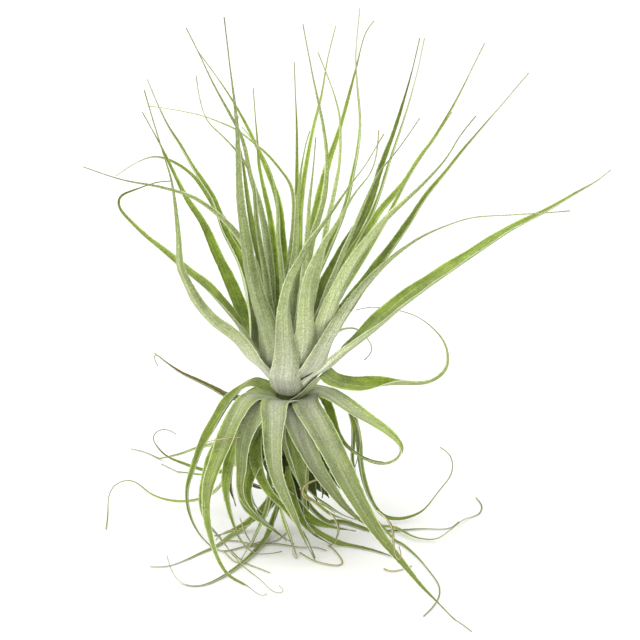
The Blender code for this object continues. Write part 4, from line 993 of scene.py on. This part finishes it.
def fringeMaterial():
    material, shader = newMaterial("papery_margin_scales")
    place = addNode(material, "ShaderNodeTexCoord").outputs["Object"]
    tufts = addNode(material, "ShaderNodeTexNoise", None, {
        "Vector": place, "Scale": hairLook["tufts"], "Detail": 1}).outputs[0]
    colour = addNode(material, "ShaderNodeMix", colourMix, {
        0: tufts, 6: srgb(hairLook["cream"]), 7: srgb(hairLook["white"])}).outputs[2]
    setInputs(material, shader, {
        "Base Color": colour, "Roughness": hairLook["roughness"],
        "Sheen Weight": hairLook["sheen"]})
    return material


# Old stem bark: dry, dull brown, ringed by the scars of fallen leaves 2.6 mm apart, with fibres of
# 1 mm. The top is living green, made dark olive as painted shade: it stands for the shadow under
# the leaf bases.
stemLook = {
    "bark": "#5b472c", "scar": "#8a7450", "fibre": "#3d2f1c", "shadedGreen": "#4a5528",
    "scars": 120, "fibres": 900, "greenFrom": 0.06, "greenTo": 0.074,  # metres above the floor
}


def stemMaterial():
    material, shader = newMaterial("old_stem_bark")
    place = addNode(material, "ShaderNodeTexCoord").outputs["Object"]
    scars = addNode(material, "ShaderNodeTexWave", {"bands_direction": "Z"}, {
        "Vector": place, "Scale": stemLook["scars"], "Distortion": 4, "Detail": 2}).outputs[1]
    fibres = addNode(material, "ShaderNodeTexNoise", None, {
        "Vector": place, "Scale": stemLook["fibres"], "Detail": 3}).outputs[0]
    height = addNode(material, "ShaderNodeSeparateXYZ", None, {0: place}).outputs[2]
    shares = [scars]
    for value, low, high, most in (
            (fibres, 0.3, 0.7, 0.5), (height, stemLook["greenFrom"], stemLook["greenTo"], 1)):
        shares.append(addNode(
            material, "ShaderNodeMapRange", {"clamp": True},
            {0: value, 1: low, 2: high, 3: 0, 4: most}).outputs[0])
    colour = srgb(stemLook["bark"])
    for share, key in zip(shares, ("scar", "fibre", "shadedGreen")):
        colour = addNode(material, "ShaderNodeMix", colourMix, {
            0: share, 6: colour, 7: srgb(stemLook[key])}).outputs[2]
    bump = addNode(material, "ShaderNodeBump", None, {
        "Strength": 0.6, "Distance": 0.0004, "Height": fibres}).outputs[0]
    setInputs(material, shader, {"Base Color": colour, "Normal": bump, "Roughness": 0.85})
    return material


# How light the leaves are, as read off the picture: by group, and some leaf by leaf. This is partly
# each leaf's own colour and partly painted shade: the under leaves at 0.4 to 0.55 are darkened to
# stand for the shadow deep in the lower bundle.
toneAndShadeLook = {
    "groups": {
        "heart": 1.3, "middle": 1, "outer": 1.03, "skirt": 0.98, "under": 0.8, "curl": 1,
        "thread": 1.1},
    "spread": (0.88, 1.12),
    "leaves": {
        "middle_04": 0.7, "outer_07": 1.05, "outer_08": 1.1, "outer_09": 0.8,
        "outer_11": 0.92, "outer_12": 1.15, "outer_14": 0.92, "outer_15": 1.05,
        "skirt_10": 1.15, "skirt_18": 0.8, "skirt_20": 0.62, "skirt_21": 0.8,
        "skirt_22": 0.84, "skirt_23": 0.78, "skirt_24": 1.3, "under_01": 0.8,
        # painted shade: these dark under leaves stand for the shadow in the middle of the lower
        # bundle
        "under_02": 0.4, "under_03": 0.5, "under_06": 0.5, "under_07": 0.55,
        "under_08": 0.4, "under_13": 0.4, "under_17": 0.42, "under_18": 0.42},
}


def leafFelt(leaf, length):
    # how thick the scale felt is at this length along the leaf
    part = "upper" if leaf.upper else "lower"
    tip = feltLook[part + "Tip"]
    run = feltLook["lengths"].get(leaf.name, feltLook[part + "Length"])
    past = max(length - leaf.rootLength, 0)
    return leaf.felt * (tip + (1 - tip) * math.exp(-past / run))


def fineRows(leaf, random):
    # the blade's points, 1 mm apart along it, and the numbers and the surface place of each
    rows = leaf.frames(spline(leaf.curve), fine=True)
    places, values, edges = [], [], []
    phase = random.uniform(0, math.tau)
    tone = toneAndShadeLook["groups"][leaf.name.split("_")[0]] * random.uniform(*toneAndShadeLook["spread"])
    tone = toneAndShadeLook["leaves"].get(leaf.name, tone)
    dryRun = max(1 - leaf.dryFrom, 1e-6)
    rounding = fineBlade["channel"]
    mostLift = math.sqrt(1 + rounding * rounding) - rounding
    narrowest, widens = fineBlade["narrowStarts"].get(leaf.name, (1, 1))
    for row in rows:
        point, tangent, side, half, fold, free, turn, share, length = row
        inside = max(1 - fineBlade["marginWidth"] / half, fineBlade["leastInside"])
        columns = (1, *(inside * column for column in fineBlade["columns"]), -1)
        felt = leafFelt(leaf, length)
        dry = smoothstep((share - leaf.dryFrom) / dryRun)
        thick = fineBlade["tipThickness"] / fineBlade["thickness"]
        thick += (1 - thick) * (1 - share)
        inner = tangent.cross(side)
        wave = math.sin(length / fineBlade["rippleLength"] * math.tau + phase)
        wave *= fineBlade["ripple"] * min(half / fineBlade["rippleHalf"], 1) * free
        jagged = fineBlade["serration"] * min(half / fineBlade["serrationHalf"], 1)
        widened = smoothstep((length - leaf.rootLength) / widens)
        narrow = narrowest + (1 - narrowest) * widened
        for column in columns:
            lift = (math.sqrt(column * column + rounding * rounding) - rounding) / mostLift
            reach = narrow if column > 0 else 1
            place = leaf.place(row, column * reach, lift * reach)
            place = place + inner * (wave * column * abs(column))
            if abs(column) == 1:
                place = place + side * (random.uniform(-1, 1) * jagged * column)
            place.z = max(place.z, fineBlade["lowest"])
            places.append(place / 1000 + stemPlace)
            # no pale edge where the leaf is as narrow as its own margin
            margin = (1 - abs(column)) * half + max(fineBlade["paleEdgeHalf"] - half, 0)
            rise = smoothstep((1 - abs(column)) * fineBlade["marginRise"])
            wall = fineBlade["marginThickness"] + (1 - fineBlade["marginThickness"]) * rise
            values.append((felt, margin, share, dry, tone, thick * wall, column * half, length))
        edges.append((places[-len(columns)], places[-1], side, tangent, inner, half, share))
    return rows, np.array([tuple(place) for place in places]), np.array(values), edges


def setValues(mesh, values):
    # what the materials read: the numbers of each point, and its place on the surface in mm
    for index, name in enumerate(leafNumbers):
        attribute = mesh.attributes.new(name, "FLOAT", "POINT")
        attribute.data.foreach_set("value", np.ascontiguousarray(values[:, index], np.float32))
    layer = mesh.uv_layers[0] if mesh.uv_layers else mesh.uv_layers.new()
    layer.name = "leafSurface"
    corners = np.empty(len(mesh.loops), np.int32)
    mesh.loops.foreach_get("vertex_index", corners)
    layer.data.foreach_set("uv", np.ascontiguousarray(values[corners][:, 6:8], np.float32).ravel())


# Scale hairs along the margins of all but the narrowest leaves, in millimetres
fringe = {
    "perMillimetre": 2.0, "shortest": 0.3, "longest": 0.75, "width": 0.09, "rooted": 0.12,
    "endsAt": 0.93, "leastWidth": 3, "fullHalf": 3.5, "felt": 0.8,
    "leanAlong": (-0.1, 0.9), "leanOff": (-0.5, 0.7), "footRise": 0.6,
}


def marginFringe(leaf, edges, tone, random):
    # thin three-sided spikes along both margins, each closed at its foot
    spikes = []
    spikeValues = []
    width = fringe["width"] / 1000
    for near, far in zip(edges, edges[1:]):
        *ends, side, tangent, inner, half, share = near
        if share > fringe["endsAt"] or share * leaf.length < leaf.rootLength:
            continue
        size = min(half / fringe["fullHalf"], 1)
        count = random.poisson(fringe["perMillimetre"] * (far[0] - near[0]).length * 1000)
        for sign, end, farEnd in ((1, ends[0], far[0]), (-1, ends[1], far[1])):
            for _ in range(count):
                foot = end.lerp(farEnd, random.uniform(0, 1))
                reach = random.uniform(fringe["shortest"], fringe["longest"]) * size / 1000
                way = side * sign + tangent * random.uniform(*fringe["leanAlong"])
                way = (way + inner * random.uniform(*fringe["leanOff"])).normalized()
                corner = tangent * width
                back = foot - way * (fringe["rooted"] / 1000)
                ridge = inner * width * fringe["footRise"]
                spikes += [back - corner, back + corner, back + ridge, foot + way * reach]
                spikeValues.append((fringe["felt"], 0, share, 0, tone, 0, 0, 0))
    if not spikes:
        return None
    starts = np.arange(len(spikes) // 4)[:, None] * 4
    faces = np.concatenate([
        starts + np.array(face) for face in ((0, 2, 1), (0, 1, 3), (1, 2, 3), (2, 0, 3))])
    mesh = bpy.data.meshes.new(leaf.name + "_fringe")
    mesh.from_pydata([tuple(place) for place in spikes], [], faces.tolist())
    setValues(mesh, np.repeat(np.array(spikeValues), 4, axis=0))
    return mesh


firstSeed = 1000


def makeLeaf(leaf, number, materials):
    random = np.random.default_rng(firstSeed + number)
    rows, places, values, edges = fineRows(leaf, random)
    bpy.ops.object.select_all(action="DESELECT")
    bpy.ops.mesh.primitive_grid_add(
        x_subdivisions=len(fineBlade["columns"]) + 1, y_subdivisions=len(rows) - 1, size=1)
    piece = bpy.context.object
    piece.name = piece.data.name = "leaf_" + leaf.name
    mesh = piece.data
    mesh.vertices.foreach_set("co", places.astype(np.float32).ravel())
    setValues(mesh, values)
    for material in materials:
        mesh.materials.append(material)
    # the wall is thinner at the margins and the tip
    group = piece.vertex_groups.new(name="wall")
    walls = np.round(values[:, len(leafNumbers)], 2)
    for wall in sorted(set(walls)):
        group.add(np.flatnonzero(walls == wall).tolist(), float(wall), "REPLACE")
    solidify = piece.modifiers.new("Solidify", "SOLIDIFY")
    solidify.thickness = fineBlade["thickness"] / 1000
    solidify.offset = 0
    solidify.vertex_group = "wall"
    solidify.material_offset = 1
    solidify.material_offset_rim = 2
    bpy.ops.object.modifier_apply(modifier="Solidify")
    spikes = None
    if leaf.width > fringe["leastWidth"]:
        spikes = marginFringe(leaf, edges, values[0, leafNumbers.index("tone")], random)
    if spikes:
        spikes.materials.append(materials[2])
        hairs = bpy.data.objects.new(leaf.name + "_fringe", spikes)
        bpy.context.scene.collection.objects.link(hairs)
        hairs.select_set(True)
        piece.select_set(True)
        bpy.context.view_layer.objects.active = piece
        bpy.ops.object.join()
    bpy.ops.object.shade_smooth()
    piece.vertex_groups.clear()
    if leaf.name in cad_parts:
        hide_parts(leaf.name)
    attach(piece, "root")


# A white table and even white light all round, with one large soft light from above
studio = {
    "floorSize": 12, "floorHeight": -0.0002, "floor": "#f7f7f5", "world": 0.98,
    "key": 36, "keySize": 2.6, "keyPlace": (-0.7, -1.0, 1.7), "keyAim": (0, 0, 0.12),
}


def makeStudio():
    bpy.ops.object.select_all(action="DESELECT")
    bpy.ops.mesh.primitive_plane_add(
        size=studio["floorSize"], location=(0, 0, studio["floorHeight"]))
    floor = bpy.context.object
    floor.name = "floor"
    material, shader = newMaterial("white_table")
    setInputs(material, shader, {
        "Base Color": srgb(studio["floor"]), "Roughness": 0.9, "Specular IOR Level": 0.1})
    floor.data.materials.append(material)
    world = bpy.data.worlds.new("white_room")
    bpy.context.scene.world = world
    world.use_nodes = True
    background = world.node_tree.nodes["Background"]
    background.inputs["Color"].default_value = (1, 1, 1, 1)
    background.inputs["Strength"].default_value = studio["world"]
    light = bpy.data.lights.new("soft_box", "AREA")
    light.size = studio["keySize"]
    light.energy = studio["key"]
    lamp = bpy.data.objects.new("soft_box", light)
    lamp.location = studio["keyPlace"]
    aim = Vector(studio["keyAim"]) - lamp.location
    lamp.rotation_euler = aim.to_track_quat("-Z", "Y").to_euler()
    bpy.context.scene.collection.objects.link(lamp)


def makeCamera():
    data = bpy.data.cameras.new("picture_view")
    data.lens = pictureView["lens"]
    data.sensor_width = pictureView["sensor"]
    data.clip_start, data.clip_end = pictureView["clip"]
    camera = bpy.data.objects.new("picture_view", data)
    camera.location = eye / 1000 + stemPlace
    camera.rotation_euler = (math.pi / 2 - pictureView["tilt"], 0, 0)
    bpy.context.scene.collection.objects.link(camera)
    bpy.context.scene.camera = camera


makeStudio()
makeCamera()
bpy.context.scene.view_settings.view_transform = "Standard"
print("table, light and camera made")
leafMaterials = (
    leafFaceMaterial("felted_leaf_upper_face", upperFace),
    leafFaceMaterial("felted_leaf_under_face", underFace),
    fringeMaterial(),
)
leaves = allLeaves() + [looseLeaf(*spec) for spec in looseLeaves]
leaves += [looseLeaf(name, width, route=route, **threadLook) for name, width, route in dryThreads]
leaves += [looseLeaf(*spec) for spec in shadeFillLeaves]
print("leaf routes found:", len(leaves))
for number, leaf in enumerate(leaves):
    makeLeaf(leaf, number, leafMaterials)
print("leaves made")
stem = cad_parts["stem"]
stem.data.materials.clear()
stem.data.materials.append(stemMaterial())
print("stem finished")
